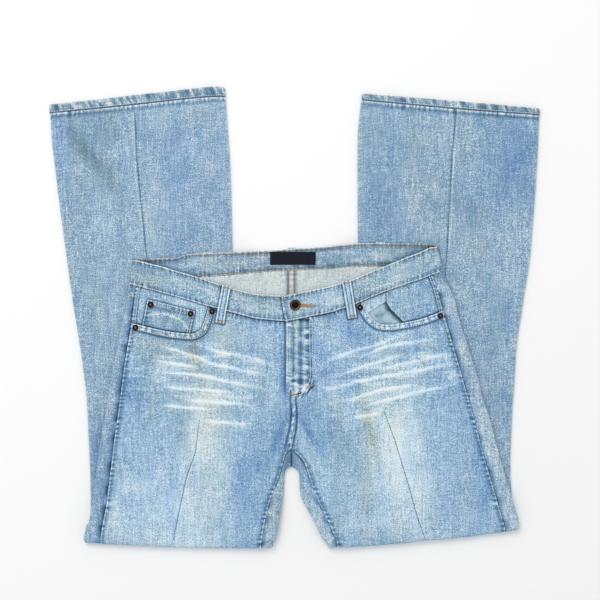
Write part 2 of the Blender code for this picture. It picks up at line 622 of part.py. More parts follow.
def back_rows(leg):
    """Each row of a back panel's seat and thigh, as x, y and share."""
    name = leg.name
    top = SCOOP[name][0][1]
    for share, centre_y in zip(HIP_ROWS["share"], HIP_ROWS["centre_y"]):
        outer_y = YOKE_SIDE[name] - HALF_GAP if share < -0.05 else mix(top, leg.fold_start[0], share)
        if centre_y == YOKE_CENTRE:
            centre_y = YOKE_CENTRE - HALF_GAP
        x, level = outer_end(read(THIGH[name], "outer", outer_y), leg.outseam(outer_y), leg.side, LEG_EDGE)
        concentrate = 1 - smooth((centre_y - SEAT_END - 4) / 90)
        end_x = CENTRE + leg.side * HALF_GAP
        slope = (outer_y - centre_y) / (x[-1] - end_x)
        total = abs(x[-1] - end_x)
        even = total * (END_COLUMNS - 1) / (UNDER_COLUMNS + END_COLUMNS)
        spread = mix(even, 17.0, concentrate) * mix(np.linspace(1, 0, END_COLUMNS), END_SPACING, concentrate)
        under = np.linspace(x[-1], end_x + leg.side * spread[0], UNDER_COLUMNS + 2)[1:-1]
        rest = np.concatenate([under, end_x + leg.side * spread])
        y = np.concatenate([np.full(len(x), outer_y), outer_y + slope * (rest - x[-1])])
        yield np.concatenate([x, rest]), y, np.concatenate([level, np.zeros(len(rest))])
    turns = CROTCH_ROWS
    for k, share in enumerate(turns["share"]):
        over = np.array([turns[f"k{i}"][k] for i in range(END_COLUMNS)])
        entry, cross = turns["entry"][k], turns["cross"][k]
        fanned = entry * np.linspace(1, 0, END_COLUMNS)
        gathered = np.array([entry, cross, cross, cross, cross, cross, cross / 2, 0])
        plan, level = leg.over_edge(mix(fanned, gathered, turns["gather"][k]), over)
        yield whole_row(leg, mix(top, leg.fold_start[0], share), plan, level)
    cross, entry = 6.2, 11.0
    for share in [r for r in FRONT_ROWS if r >= CROTCH_ROW] + [1.0]:
        inner_y = mix(CROTCH, leg.fold_start[1], (share - CROTCH_ROW) / (1 - CROTCH_ROW))
        seam = np.array([float(leg.inseam(inner_y)) - leg.side * HALF_GAP, inner_y])
        if share == CROTCH_ROW:
            seam = np.array([CENTRE + leg.side * HALF_GAP, CROTCH - 0.6])
        near, away = leg.nearest_edge(seam)
        cross = max(near, cross + 1.8)
        entry = max(cross, entry + 1.0)
        over = np.array([-13, -1, -0.5, 0, 0.5, 1, (away - LEG_EDGE) / 2 + 1, away - LEG_EDGE + 1])
        plan, level = leg.over_edge(np.array([entry] + [cross] * 7), over)
        plan[-1] = seam
        plan[-2] = (plan[-3] + seam) / 2
        yield whole_row(leg, mix(top, leg.fold_start[0], share), plan, level)


def whole_row(leg, outer_y, plan, level):
    x, outer_level = outer_end(read(THIGH[leg.name], "outer", outer_y), leg.outseam(outer_y), leg.side, LEG_EDGE)
    t = np.linspace(0, 1, UNDER_COLUMNS + 2)[1:-1]
    under_x, under_y = mix(x[-1], plan[0, 0], t), mix(outer_y, plan[0, 1], t)
    x = np.concatenate([x, under_x, plan[:, 0]])
    y = np.concatenate([np.full(len(outer_level), outer_y), under_y, plan[:, 1]])
    return x, y, np.concatenate([outer_level, np.zeros(len(t)), level])


def lower_section(leg, share):
    """x and share of a back panel's columns across the lower leg."""
    edges, seams = leg.lower_edges(share)
    x, level = outer_end(edges[0], seams[0], leg.side, LOWER_EDGE)
    inner_x, inner_level = outer_end(edges[1], seams[1], -leg.side, LOWER_EDGE)
    entry = inner_x[-1] + leg.side * 12.0
    under = np.linspace(x[-1], entry, UNDER_COLUMNS + 2)[1:]
    inner_x, inner_level = inner_x[::-1], inner_level[::-1]
    x = np.concatenate([x, under, inner_x])
    return x, np.concatenate([level, np.zeros(len(under)), inner_level])


def back_grid(leg):
    """The outer face of a back panel: down the seat, round the crotch, round the fold and on to the hem."""
    rows = []
    for x, y, level in back_rows(leg):
        rows.append(leg.seat(x, y, level))
    fold_x = x
    low_x, low_level = lower_section(leg, 0.0)
    for turn in BEND_TURNS:
        t = (90 - turn) / 180
        rows.append(leg.bend(mix(fold_x, low_x, t), turn, mix(level, low_level, t)))
    rows.pop(-len(BEND_TURNS) - 1)
    for share in LOWER_ROWS:
        x, level = lower_section(leg, share)
        rows.append(leg.lower(x, leg.lower_y(x, share), level))
    return np.array(rows)


def yoke_grid(leg):
    """Half the yoke: from the yoke seam up to the waistband, and from the centre round to the side seam."""
    x, y, level = next(back_rows(leg))
    y = y + SEAM_GAP
    top_outer = BAND_SIDE[leg.name][1][0]
    top_x, _ = outer_end(top_outer, leg.outseam(leg.side_top), leg.side, LEG_EDGE)
    rest = mix(top_x[-1], x[-1], (x[len(top_x):] - x[len(top_x) - 1]) / (x[-1] - x[len(top_x) - 1]))
    top_x = np.concatenate([top_x, rest])
    front_y, back_y = leg.waist(top_x), band_low("back", top_x) - WAIST_GAP
    top_y = mix(back_y, front_y, level)
    rows = []
    for t in (0.0, 0.35, 0.7, 0.85, 1.0):
        row_x, row_y = mix(x, top_x, t), mix(y, top_y, t)
        row = leg.seat(row_x, row_y, level)
        row[:, 2] += BAND_STEP * smooth((t - 0.6) / 0.4) * (1 - level)
        rows.append(row)
    return np.array(rows)


def band_grid():
    """The waistband from the button end, across the left front, round the back and on to the buttonhole end."""
    top, low, share = [], [], []
    quarter = np.radians([60, 30, 0, -30, -60])

    def lay(chart, at, order=1):
        for row in list(zip(chart["top_x"], chart["top_y"], chart["low_x"], chart["low_y"]))[::order]:
            top.append(row[:2])
            low.append(row[2:])
            share.append(at)

    def side_fold(name, side, turns):
        edge_top, edge_low = BAND_SIDE[name]
        before_top = top[-1]
        after = BAND["back"] if side < 0 else BAND["front_right"]
        after_top = (after["top_x"][0], after["top_y"][0])
        for k, turn in enumerate(turns):
            t = (k + 1) / (len(turns) + 1)
            inset = BAND_EDGE * (1 - np.cos(turn))
            at = (1 + np.sin(turn)) / 2
            low_x = edge_low[0] - side * inset
            top.append((edge_top[0] - side * inset, mix(before_top[1], after_top[1], t)))
            low.append((low_x, mix(band_low("back", low_x), band_low("front_" + name, low_x), at)))
            share.append(at)

    lay(BAND["front_left"], 1.0)
    side_fold("left", -1, np.concatenate([[np.pi / 2], quarter, [-np.pi / 2]]))
    lay(BAND["back"], 0.0)
    side_fold("right", 1, np.concatenate([[-np.pi / 2], quarter[::-1], [np.pi / 2]]))
    lay(BAND["front_right"], 1.0)
    top, low, share = np.array(top, float), np.array(low, float), np.array(share)
    last = len(share) - len(BAND["front_right"]["top_x"])
    rows = []
    for t in (0.0, 0.5, 1.0):
        x, y = mix(top, low, t).T
        z = mix(band_under(x, y), band_top(x, y), share)
        z[last:] += overlap_lift(x[last:])
        rows.append(np.stack([x, y, z], axis=-1))
    return np.array(rows)


def facing_grid(leg, chart):
    """A piece inside the pocket mouth, from the waistband and the side seam to where the front covers it."""
    rows = []
    down = np.array(chart["rows"])
    across = np.linspace(0, 1, 9)
    if chart["from_seam"]:
        across = np.concatenate([[0, 0.06], np.linspace(0.14, 1, 8)])
    for t in down:
        outer_y = mix(leg.side_top, chart["low_y"][0], t)
        outer_x = float(leg.outseam(outer_y)) - leg.side * HALF_GAP if chart["from_seam"] else chart["outer"]
        x = mix(outer_x, mix(chart["edge"][0], chart["edge"][1], t), across)
        y = mix(leg.waist(x), mix(chart["low_y"][0], chart["low_y"][1], across), t)
        under = np.full(len(x), chart["under"])
        if chart["from_seam"]:
            rise = smooth(t / 0.15) * np.ones(len(x))
            covered = smooth((leg.side * (SCOOP[leg.name][-1][0] - x) + 14) / 10)
            low = mix(0.9, DENIM + SEAM_GAP, covered)
            under = mix(low, chart["under"], rise)
            under[0] = mix(min(low[0], under[0]), DENIM + SEAM_GAP, rise[0])
        row = leg.seat(x, y, 1.0)
        row[:, 2] -= under
        rows.append(row)
    return np.array(rows)


def patch_grid(leg, corners, under, rows, columns):
    """A four-cornered piece: top left, top right, low right, low left."""
    top_left, top_right, low_right, low_left = (np.array(corner, float) for corner in corners)
    grid = []
    for t in np.linspace(0, 1, rows):
        at = np.linspace(0, 1, columns)[:, None]
        plan = mix(mix(top_left, low_left, t), mix(top_right, low_right, t), at)
        row = leg.seat(plan[:, 0], plan[:, 1], 1.0)
        row[:, 2] -= under
        grid.append(row)
    return np.array(grid)


def loop_grid(ground, ends):
    """A belt loop on the front: a narrow strip that lies over the waistband and ends on the panel below it."""
    top, low = (np.array(end, float) for end in ends)
    run = (low - top) / np.linalg.norm(low - top)
    across = np.array([-run[1], run[0]])
    grid = []
    for t in LOOP_ROWS:
        row = []
        for k in (-0.5, 0.0, 0.5):
            x, y = mix(top, low, t) + across * LOOP_WIDTH * k
            row.append((x, y, ground.height(x, y, 2.5) + SEAM_GAP + LOOP_WALL))
        row = np.array(row)
        row[:, 2] = row[:, 2].max()
        grid.append(row)
    return np.array(grid)


def under_loop_grid(ends):
    """A belt loop on the back, which the seat rests on."""
    top, low = (np.array(end, float) for end in ends)
    grid = []
    for t in np.linspace(0, 1, 6):
        middle = mix(top, low, t)
        x = middle[0] + np.array([-0.5, 0.0, 0.5]) * LOOP_WIDTH
        y = np.full(3, middle[1])
        grid.append(np.stack([x, y, support(x, y) + 0.1], axis=-1))
    return np.array(grid)


def label_grid():
    """The label, on the inside of the back waistband."""
    x = np.linspace(*LABEL_SPAN["x"], 6)
    rows = []
    for y in np.linspace(*LABEL_SPAN["y"], 3):
        z = band_under(x, y) + BAND_WALL + SEAM_GAP + LABEL_WALL
        rows.append(np.stack([x, np.full(len(x), y), z], axis=-1))
    return np.array(rows)


def hem_grid(leg):
    """The hem's ring of three layers: closed columns, from the panels' ends to the hem's edge."""
    name = leg.name
    grid = []
    for t in (0.0, 0.5, 1.0):
        low_x, high_x = (mix(HEM_SEAM[name]["x"][k], HEM_EDGE[name]["x"][k], t) for k in (0, -1))
        flat = np.linspace(low_x + HEM_EDGE_ROUND, high_x - HEM_EDGE_ROUND, HEM_COLUMNS)
        top_x = flat
        right_x = high_x - HEM_EDGE_ROUND * (1 - np.cos(ROUND[1:-1]))
        left_x = low_x + HEM_EDGE_ROUND * (1 - np.cos(ROUND[1:-1]))
        x = np.concatenate([top_x, right_x, flat[::-1], left_x])
        level = np.concatenate([
            np.ones(HEM_COLUMNS), (1 + np.sin(ROUND[1:-1])) / 2, np.zeros(HEM_COLUMNS), (1 + np.sin(ROUND[1:-1][::-1])) / 2,
        ])
        seam = read(HEM_SEAM[name], "y", x, "x") + HALF_GAP + 0.15
        edge = read(HEM_EDGE[name], "y", x, "x")
        grid.append(np.stack([x, mix(seam, edge, t), HEM_HEIGHT * level], axis=-1))
    return np.array(grid)


def main():
    for old in list(bpy.data.objects):
        bpy.data.objects.remove(old)
    left, right = Leg("left"), Leg("right")
    front = {leg.name: front_grid(leg) for leg in (left, right)}
    slab("front_left", front["left"], DENIM, FRONT_BLUE)
    slab("front_right", front["right"], DENIM, FRONT_BLUE)
    slab("back_left", back_grid(left), DENIM, BACK_BLUE)
    slab("back_right", back_grid(right), DENIM, BACK_BLUE)
    slab("yoke_left", yoke_grid(left), DENIM, BACK_BLUE)
    slab("yoke_right", yoke_grid(right), DENIM, BACK_BLUE)
    band = band_grid()
    slab("waistband", band, BAND_WALL, BAND_BLUE)
    slab("pocket_facing_left", facing_grid(left, FACING["left"]), DENIM, FRONT_BLUE)
    slab("pocket_facing_right", facing_grid(right, FACING["right"]), DENIM, FRONT_BLUE)
    slab("pocket_bag_right", facing_grid(right, POCKET_BAG), COIN_WALL, BAG_GREY)
    coin = patch_grid(left, COIN_CORNERS, DENIM + SEAM_GAP, 5, 6)
    slab("coin_pocket", coin, COIN_WALL, FRONT_BLUE)
    slab("fly_zip", patch_grid(right, ZIP_CORNERS, 0.0, 8, 3), DENIM, BACK_BLUE)
    ground = Ground(band, front["left"], front["right"], coin)
    for name, ends in FRONT_LOOPS.items():
        slab(name, loop_grid(ground, ends), LOOP_WALL, FRONT_BLUE)
    for name, ends in BACK_LOOPS.items():
        slab(name, under_loop_grid(ends), LOOP_WALL, FRONT_BLUE, faces_up=False)
    slab("label", label_grid(), LABEL_WALL, LABEL_BROWN)
    for leg in (left, right):
        slab("hem_" + leg.name, hem_grid(leg), HEM_WALL, BACK_BLUE, closed=True)
    x, y = BUTTON_AT
    height = ground.height(x, y, BUTTON_RADIUS) + SEAM_GAP
    turned("button", (x, y, height), BUTTON_PROFILE, DARK_METAL)
    for name, x, y in RIVETS:
        turned(name, (x, y, ground.height(x, y, RIVET_RADIUS) + SEAM_GAP), RIVET_PROFILE, DARK_METAL)


main()
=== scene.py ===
import math

import bmesh
import bpy
import numpy as np
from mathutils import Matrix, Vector
from mathutils.bvhtree import BVHTree


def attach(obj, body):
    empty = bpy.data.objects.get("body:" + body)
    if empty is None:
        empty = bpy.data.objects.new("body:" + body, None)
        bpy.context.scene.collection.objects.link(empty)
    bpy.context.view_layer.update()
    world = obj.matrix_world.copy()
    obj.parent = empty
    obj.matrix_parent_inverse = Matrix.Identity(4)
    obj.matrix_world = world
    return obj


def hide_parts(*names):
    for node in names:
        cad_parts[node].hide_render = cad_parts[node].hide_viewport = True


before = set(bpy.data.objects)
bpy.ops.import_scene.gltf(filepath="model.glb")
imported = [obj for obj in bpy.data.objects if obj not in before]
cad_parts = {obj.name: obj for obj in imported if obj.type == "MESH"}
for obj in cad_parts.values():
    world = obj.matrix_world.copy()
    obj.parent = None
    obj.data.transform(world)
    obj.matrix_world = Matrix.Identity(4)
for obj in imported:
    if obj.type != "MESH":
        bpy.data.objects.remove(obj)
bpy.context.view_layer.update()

# The two front panels: stone-washed cotton denim, each cut in one piece from waist to hem and felled to its
# back down each side. The jeans lie flat with each leg folded back under the seat at mid-thigh, so every
# face of cloth is a height over the floor that follows from the layers below it. Sizes are in millimetres.
MM = 0.001
SEAM_GAP = 0.3         # between two pieces at a seam, and between a piece and what it lies on
HALF_GAP = SEAM_GAP / 2   # each piece's share of it
WAIST_GAP = 0.45       # from the waistband to the panels below it
DENIM = 1.2            # one layer of the leg panels and the yoke
BAND_WALL = 2.8        # the waistband: two layers and their turned edges
HEM_WALL = 2.0         # the hem: three layers, pressed flat
LOOP_WALL = 1.2        # a belt loop
COIN_WALL = 1.0        # the coin pocket and the pocket bag
LABEL_WALL = 1.0
LOWER_HEIGHT = 4.8     # a lower leg, both layers
FOLD_GAP = 0.5         # from the fold's axis to the cloth on either side
AXIS_HEIGHT = LOWER_HEIGHT + FOLD_GAP
REST_HEIGHT = AXIS_HEIGHT + FOLD_GAP      # where the seat and thighs rest on a lower leg
LEG_HEIGHT = 5.8       # seat or thigh, both layers
FOLD_BULGE = 1.0       # the fold stands this much fuller than the flat layers
FOLD_REACH = FOLD_GAP + (LEG_HEIGHT + LOWER_HEIGHT) / 2 + FOLD_BULGE
BAND_HEIGHT = 6.6      # waistband, front and back layer
BAND_STEP = 0.8        # the yoke enters the waistband's edge this far in
WAIST_LIFT = 1.5       # room for the belt loops under the back waistband
OVERLAP_LIFT = BAND_WALL + SEAM_GAP       # buttonhole end over button end
FLY_LIFT = DENIM + SEAM_GAP               # right front over left front at the fly
HEM_HEIGHT = 5.4
LEG_EDGE = 3.5         # how far in from the side the rounded edge starts, on the seat and thigh
LOWER_EDGE = 3.0       # on a lower leg
HEM_EDGE_ROUND = HEM_HEIGHT / 2
BAND_EDGE = BAND_HEIGHT / 2
CENTRE = -4.5          # x of the rise seams
CROTCH = -183.0        # y where the four seams cross
SEAT_END = -209.0      # y where the seat seam turns under
FLY_EDGE = -11.5       # x of the right front's free edge
FLY_END = -104.0       # y where the fly closes
FLY_FLAT = 24.0        # x up to which the right front stays raised over the zip
FLY_FADE = 62.0        # x where it has come down to the level of the left one


def table(columns, *rows):
    """A short table with one named column for each word of columns."""
    return {name: np.array(values, float) for name, values in zip(columns.split(), zip(*rows))}


THIGH = {
    "left": table(
        "y outer outseam",
        (46, -230.3, -220.0), (14, -234.5, -224.5), (-11, -240.5, -227.5), (-45, -247.5, -233.0),
        (-67, -253.0, -236.6), (-105, -259.0, -241.6), (-140, -264.6, -246.3), (-170, -270.0, -250.5),
        (-203, -274.6, -254.6), (-234, -278.8, -258.4), (-265, -283.3, -262.4), (-283, -285.5, -266.0),
        (-297, -289.5, -268.5), (-314, -295.5, -270.5),
    ),
    "right": table(
        "y outer outseam",
        (65, 206.4, 190.0), (42, 215.5, 198.0), (31, 221.0, 201.0), (8, 227.5, 207.0),
        (-18, 234.7, 214.4), (-39, 242.0, 220.5), (-64, 249.5, 228.0), (-91, 257.0, 235.5),
        (-115, 263.5, 242.5), (-140, 272.0, 249.5), (-161, 277.5, 255.0), (-182, 283.0, 260.5),
        (-214, 292.0, 269.6), (-246, 301.8, 279.2), (-279, 310.2, 289.0), (-296, 314.0, 294.0),
    ),
}
INSEAM = {
    "left": table(
        "y x",
        (CROTCH, CENTRE), (-189, -11.0), (-201, -15.3), (-217, -19.6), (-228, -24.0), (-255, -34.0),
        (-286, -41.5), (-323, -47.5),
    ),
    "right": table(
        "y x",
        (CROTCH, CENTRE), (-189, 2.1), (-198, 10.8), (-217, 18.6), (-234, 24.5), (-253, 32.1),
        (-285, 47.6), (-323, 62.5),
    ),
}
CROTCH_EDGE = {
    "left": [
        (CENTRE, SEAT_END), (-9.0, -210.7), (-12.6, -214.2), (-14.0, -219.8), (-14.2, -229.0),
        (-15.0, -242.0), (-17.0, -255.5), (-20.4, -281.0), (-25.0, -303.5), (-29.4, -321.0),
    ],
    "right": [
        (CENTRE, SEAT_END), (-0.5, -210.8), (3.6, -213.6), (6.2, -218.5), (6.6, -226.5), (6.0, -234.5),
        (6.6, -243.5), (9.8, -253.0), (16.4, -264.5), (30.9, -292.0), (45.4, -321.0),
    ],
}
LOWER = {
    "left": table(
        "y outer inner",
        (-314, -295.5, -32.0), (-297, -289.5, -38.5), (-265, -285.0, -50.5), (-224, -286.0, -60.0),
        (-184, -287.3, -68.3), (-116, -290.8, -79.0), (-67, -296.7, -83.5), (-32, -301.6, -85.3),
        (24, -310.8, -86.2), (90, -319.9, -87.0), (161, -329.3, -88.5), (223, -336.5, -91.0),
        (248, -339.5, -92.5), (300, -342.0, -96.3),
    ),
    "right": table(
        "y outer inner",
        (-314, 316.0, 47.5), (-296, 314.0, 52.5), (-279, 309.5, 57.0), (-246, 302.5, 64.0),
        (-215, 302.1, 71.0), (-184, 302.3, 76.3), (-116, 305.5, 86.1), (-72, 308.7, 89.5),
        (-18, 312.9, 90.0), (52, 325.5, 89.3), (130, 333.0, 88.3), (214, 338.8, 88.0),
        (268, 341.4, 89.2), (310, 342.6, 94.1),
    ),
}
FOLD_LINE = {
    "left": table("x y", (-297, -314.5), (-206, -320.0), (-100, -323.0), (-30, -322.3)),
    "right": table("x y", (45, -322.5), (120, -318.5), (183, -312.5), (257, -305.0), (315, -296.5)),
}
HEM_SEAM = {
    "left": table("x y", (-342.5, 284.2), (-221.3, 296.5), (-145, 304.8), (-118, 307.2), (-96.5, 307.4)),
    "right": table("x y", (94.0, 302.7), (226.7, 290.4), (342.5, 281.5)),
}
STRIP_AT_HEM = 14.0    # from a side edge to its seam on the underside, at the hem


def curve(values, slopes, low, span, t):
    """A smooth curve from each row low to the next, a share t of the way over the span between them."""
    return (
        (2 * t**3 - 3 * t**2 + 1) * values[low]
        + (t**3 - 2 * t**2 + t) * span * slopes[low]
        + (3 * t**2 - 2 * t**3) * values[low + 1]
        + (t**3 - t**2) * span * slopes[low + 1]
    )


def read(chart, column, at, key="y"):
    """A column's value at a place along the key column, on a smooth curve through the rows."""
    keys, values = chart[key], chart[column]
    if keys[0] > keys[-1]:
        keys, values = keys[::-1], values[::-1]
    at = np.asarray(at, float)
    slopes = np.gradient(values, keys)
    low = np.clip(np.searchsorted(keys, at) - 1, 0, len(keys) - 2)
    span = keys[low + 1] - keys[low]
    free = (at - keys[low]) / span
    t = np.clip(free, 0, 1)
    ends = np.where(free > 1, slopes[low + 1], slopes[low])
    return curve(values, slopes, low, span, t) + ends * (free - t) * span


def walked(points):
    """The distance walked along a chain of points, at each of them."""
    return np.concatenate([[0], np.linalg.norm(np.diff(points, axis=0), axis=1).cumsum()])


def path(points):
    """A table of x and y against the distance s walked along the points."""
    points = np.array(points, float)
    return {"s": walked(points), "x": points[:, 0], "y": points[:, 1]}


def on_path(route, s):
    return np.stack([read(route, "x", s, "s"), read(route, "y", s, "s")], axis=-1)


def smooth(t):
    t = np.clip(t, 0, 1)
    return t * t * (3 - 2 * t)


def mix(a, b, t):
    return a + (b - a) * t


def support(x, y):
    """The height of what the seat and thighs lie on: the lower legs, and between them the floor."""
    beyond_left = x - read(LOWER["left"], "inner", y)
    beyond_right = read(LOWER["right"], "inner", y) - x
    beyond = np.minimum(beyond_left, beyond_right)
    sag = smooth((beyond - 14) / 34)
    near_fold = np.where(x < CENTRE, read(FOLD_LINE["left"], "y", np.minimum(x, -30), "x"),
                         read(FOLD_LINE["right"], "y", np.maximum(x, 45), "x"))
    return REST_HEIGHT * (1 - sag * smooth((y - near_fold - 15) / 60))


def seat_under(x, y):
    """The outer face of the back, underneath: lifted a little towards the waist by the belt loops."""
    return support(x, y) + WAIST_LIFT * smooth((y + 12) / 52)


def seat_top(x, y):
    """The outer face of the front."""
    return seat_under(x, y) + LEG_HEIGHT


def band_under(x, y):
    return support(x, y) + WAIST_LIFT


def band_top(x, y):
    return band_under(x, y) + BAND_HEIGHT


def overlap_lift(x):
    return OVERLAP_LIFT * smooth((64 - x) / 44)


def fly_lift(x, y):
    across = 1 - smooth((x - FLY_FLAT) / (FLY_FADE - FLY_FLAT))
    return FLY_LIFT * across * smooth((y - FLY_END + 22) / 20)


BAND = {
    "front_left": table(
        "top_x top_y low_x low_y",
        (12, 32.0, 12, -0.5), (-16, 29.7, -14, -5.0), (-36, 30.5, -35, -3.5), (-56, 32.5, -56, -1.0),
        (-78, 37.5, -76, 4.0), (-100, 44.0, -95, 9.0), (-133, 55.0, -128, 18.0), (-162, 63.2, -158, 27.0),
        (-191, 71.8, -190, 35.8), (-212, 77.0, -214, 42.3), (-218, 78.6, -223, 44.9),
    ),
    "back": table(
        "top_x top_y low_x low_y",
        (-214, 80.5, -216, 48.5), (-190, 81.2, -190, 51.5), (-165, 82.3, -165, 53.8),
        (-151, 86.4, -150, 55.0), (-121, 88.6, -121, 57.0), (-80, 90.2, -80, 60.0),
        (-40, 92.2, -40, 63.6), (0, 94.8, 0, 65.8),
        (43, 97.6, 43, 67.3), (89, 102.0, 89, 71.0), (135, 102.4, 135, 71.3), (165, 102.0, 168, 69.8),
        (190, 101.3, 194, 67.0),
    ),
    "front_right": table(
        "top_x top_y low_x low_y",
        (190, 96.8, 196, 60.8), (175, 90.2, 180, 54.6), (158, 83.8, 159, 47.6), (124, 69.8, 124, 34.8),
        (101, 60.8, 98, 24.3), (80, 51.6, 80, 16.5), (62, 46.3, 62, 10.5), (43, 41.2, 43, 5.2),
        (20, 36.6, 20, 0.8), (4, 33.2, 4, -2.6), (-18.6, 28.2, -12.4, -5.2),
    ),
}
BAND_SIDE = {"left": ((-224.6, 80.0), (-230.3, 46.2)), "right": ((199.4, 100.8), (206.4, 64.8))}


def band_low(side, x):
    """The waistband's lower seam at x, on the front or on the back."""
    chart = BAND[side]
    points = {"x": chart["low_x"], "y": chart["low_y"]}
    return read(points, "y", x, "x")


class Leg:
    """One leg's curves and surfaces. side is -1 for the left leg and +1 for the right."""

    def __init__(self, name):
        self.name = name
        self.side = -1 if name == "left" else 1
        self.edge = path(CROTCH_EDGE[name])
        seam_x = (self.outseam(-300.0), self.inseam(-316.0))
        self.fold_start = [float(self.fold_y(x)) + FOLD_REACH for x in seam_x]
        self.fold_seams = [float(self.outseam(self.fold_start[0])), float(self.inseam(self.fold_start[1]))]
        inner_end = self.nearest_edge((self.fold_seams[1], self.fold_start[1]))[0]
        fold_edges = [read(THIGH[name], "outer", self.fold_start[0]), on_path(self.edge, inner_end)[0]]
        self.strips = [abs(a - float(b)) for a, b in zip(self.fold_seams, fold_edges)]
        self.side_top = BAND_SIDE[name][1][1]
        for _ in range(20):
            self.side_top = float(self.waist(self.outseam(self.side_top)))

    def fold_y(self, x):
        return read(FOLD_LINE[self.name], "y", x, "x")

    def outseam(self, y):
        return read(THIGH[self.name], "outseam", y)

    def inseam(self, y):
        return read(INSEAM[self.name], "x", y)

    def waist(self, x):
        """y of the front's top edge, just below the waistband."""
        return band_low("front_" + self.name, x) - WAIST_GAP

    def seat(self, x, y, share):
        """A point of the seat or thigh: share 0 is the underside and 1 the top."""
        return np.stack([x, y, mix(seat_under(x, y), seat_top(x, y), share)], axis=-1)

    def bend(self, x, turn, share):
        """A point on the fold: turn runs from 90 on top to -90 below, share from 0 (back) to 1 (front)."""
        angle = np.radians(turn)
        height = mix(LOWER_HEIGHT, LEG_HEIGHT, (turn + 90) / 180) + FOLD_BULGE * np.cos(angle)
        radius = FOLD_GAP + share * height * np.ones(len(x))
        y = self.fold_y(x) + FOLD_REACH - radius * np.cos(angle)
        return np.stack([x, y, AXIS_HEIGHT + radius * np.sin(angle)], axis=-1)

    def lower(self, x, y, share):
        """A point of the lower leg: the front (share 1) lies on the floor, the back (share 0) on top."""
        return np.stack([x, y, np.full(len(x), LOWER_HEIGHT) * (1 - share)], axis=-1)

    def lower_edges(self, share):
        """x of the lower leg's side edges and seams, at a share of the way from the fold to the hem."""
        edges, seams = [], []
        for k, column in enumerate(("outer", "inner")):
            hem_y = float(read(HEM_SEAM[self.name], "y", LOWER[self.name][column][-1], "x"))
            y = mix(self.fold_start[k], hem_y, share)
            edge = float(read(LOWER[self.name], column, y))
            into = -self.side if k == 0 else self.side
            edges.append(edge)
            seams.append(edge + into * mix(self.strips[k], STRIP_AT_HEM, share))
        return edges, seams

    def lower_y(self, x, share):
        return mix(self.fold_y(x) + FOLD_REACH, read(HEM_SEAM[self.name], "y", x, "x") - HALF_GAP, share)

    def edge_normal(self, s):
        """The plan direction out of the cloth, along the crotch edge. It is -Y at the seat seam."""
        ahead = on_path(self.edge, s + 1.0) - on_path(self.edge, np.maximum(s, 1.0) - 1.0)
        turn = np.stack([-ahead[..., 1], ahead[..., 0]], axis=-1) * -self.side
        turn /= np.linalg.norm(turn, axis=-1, keepdims=True)
        made = mix(np.array([0.0, -1.0]), turn, smooth(s / 7.0)[..., None])
        return made / np.linalg.norm(made, axis=-1, keepdims=True)

    def over_edge(self, s, over):
        """Places beside the crotch edge and their shares. over is -1 where the rounding starts below, 0 on
        the edge, 1 where it ends on top, and each further 1 is a millimetre."""
        round_part = np.clip(over, -1, 1) * np.pi / 2
        inset = LEG_EDGE * (1 - np.cos(round_part)) + np.maximum(np.abs(over) - 1, 0)
        plan = on_path(self.edge, s) - self.edge_normal(s) * inset[..., None]
        plan[..., 0] += self.side * HALF_GAP * (1 - smooth(s / 5.0))
        return plan, (1 + np.sin(round_part)) / 2

    def nearest_edge(self, point):
        """How far along the crotch edge the place nearest to a point is, and how far off."""
        s = np.linspace(0, self.edge["s"][-1], 600)
        away = np.linalg.norm(on_path(self.edge, s) - np.array(point), axis=1)
        return float(s[away.argmin()]), float(away.min())


left, right = Leg("left"), Leg("right")

FRONT_COLUMNS, SCOOP_COLUMNS = 169, 91
CROTCH_ROW = 0.56      # the share of the way from the pocket mouth to the fold at which the seams cross
BLEND = 0.26           # the pocket mouth's shape fades out over this share of the way down
SCOOP = {
    "left": [
        (-225.6, -8.3), (-202.4, -14.1), (-179.2, -19.3), (-156.1, -22.3), (-138.6, -22.3),
        (-130.5, -17.6), (-124.7, -6.0), (-121.2, 5.6), (-119.0, 12.6),
    ],
    "right": [
        (206.3, 8.6), (176.3, -2.5), (153.0, -7.7), (130.9, -10.6), (116.9, -8.8), (107.7, -2.5),
        (100.8, 6.9), (95.6, 16.5), (93.8, 21.4),
    ],
}
TOP_FOLDS = table(
    "x0 y0 x1 y1 width height",
    (20, -137, 104, -218, 13, 1.3), (6, -160, 60, -250, 10, -0.8), (-60, -95, -24, -168, 13, 1.0),
    (-150, -78, -30, -100, 10, 0.6), (70, -62, 205, -36, 10, 0.6), (-215, -110, -196, -290, 16, 0.8),
    (215, -170, 236, -285, 14, 0.8), (-62, -225, -88, -312, 15, 0.9), (96, -240, 128, -306, 15, 0.8),
    (-8, -150, 28, -196, 5, 0.6), (-14, -150, -40, -214, 6, 0.6), (-20, -128, -52, -176, 5, 0.45),
)
PHOTO_SCALE = 1.4       # millimetres to a pixel of the photograph
PHOTO_CENTRE = (294.5, 317.0)


def folds(chart, x, y):
    """The height that the listed folds add at a place."""
    total = np.zeros(np.broadcast(x, y).shape)
    for x0, y0, x1, y1, width, height in zip(*chart.values()):
        run = np.array([x1 - x0, y1 - y0])
        length = np.linalg.norm(run)
        run = run / length
        along = (x - x0) * run[0] + (y - y0) * run[1]
        across = (y - y0) * run[0] - (x - x0) * run[1]
        ends = smooth(along / (0.35 * length)) * smooth((length - along) / (0.35 * length))
        total = total + height * ends * bell(across, width)
    return total


def mouth_line(leg, count):
    """Places along a pocket mouth, from the side seam to the waistband."""
    mouth = path(SCOOP[leg.name])
    return on_path(mouth, np.linspace(0, mouth["s"][-1], count))


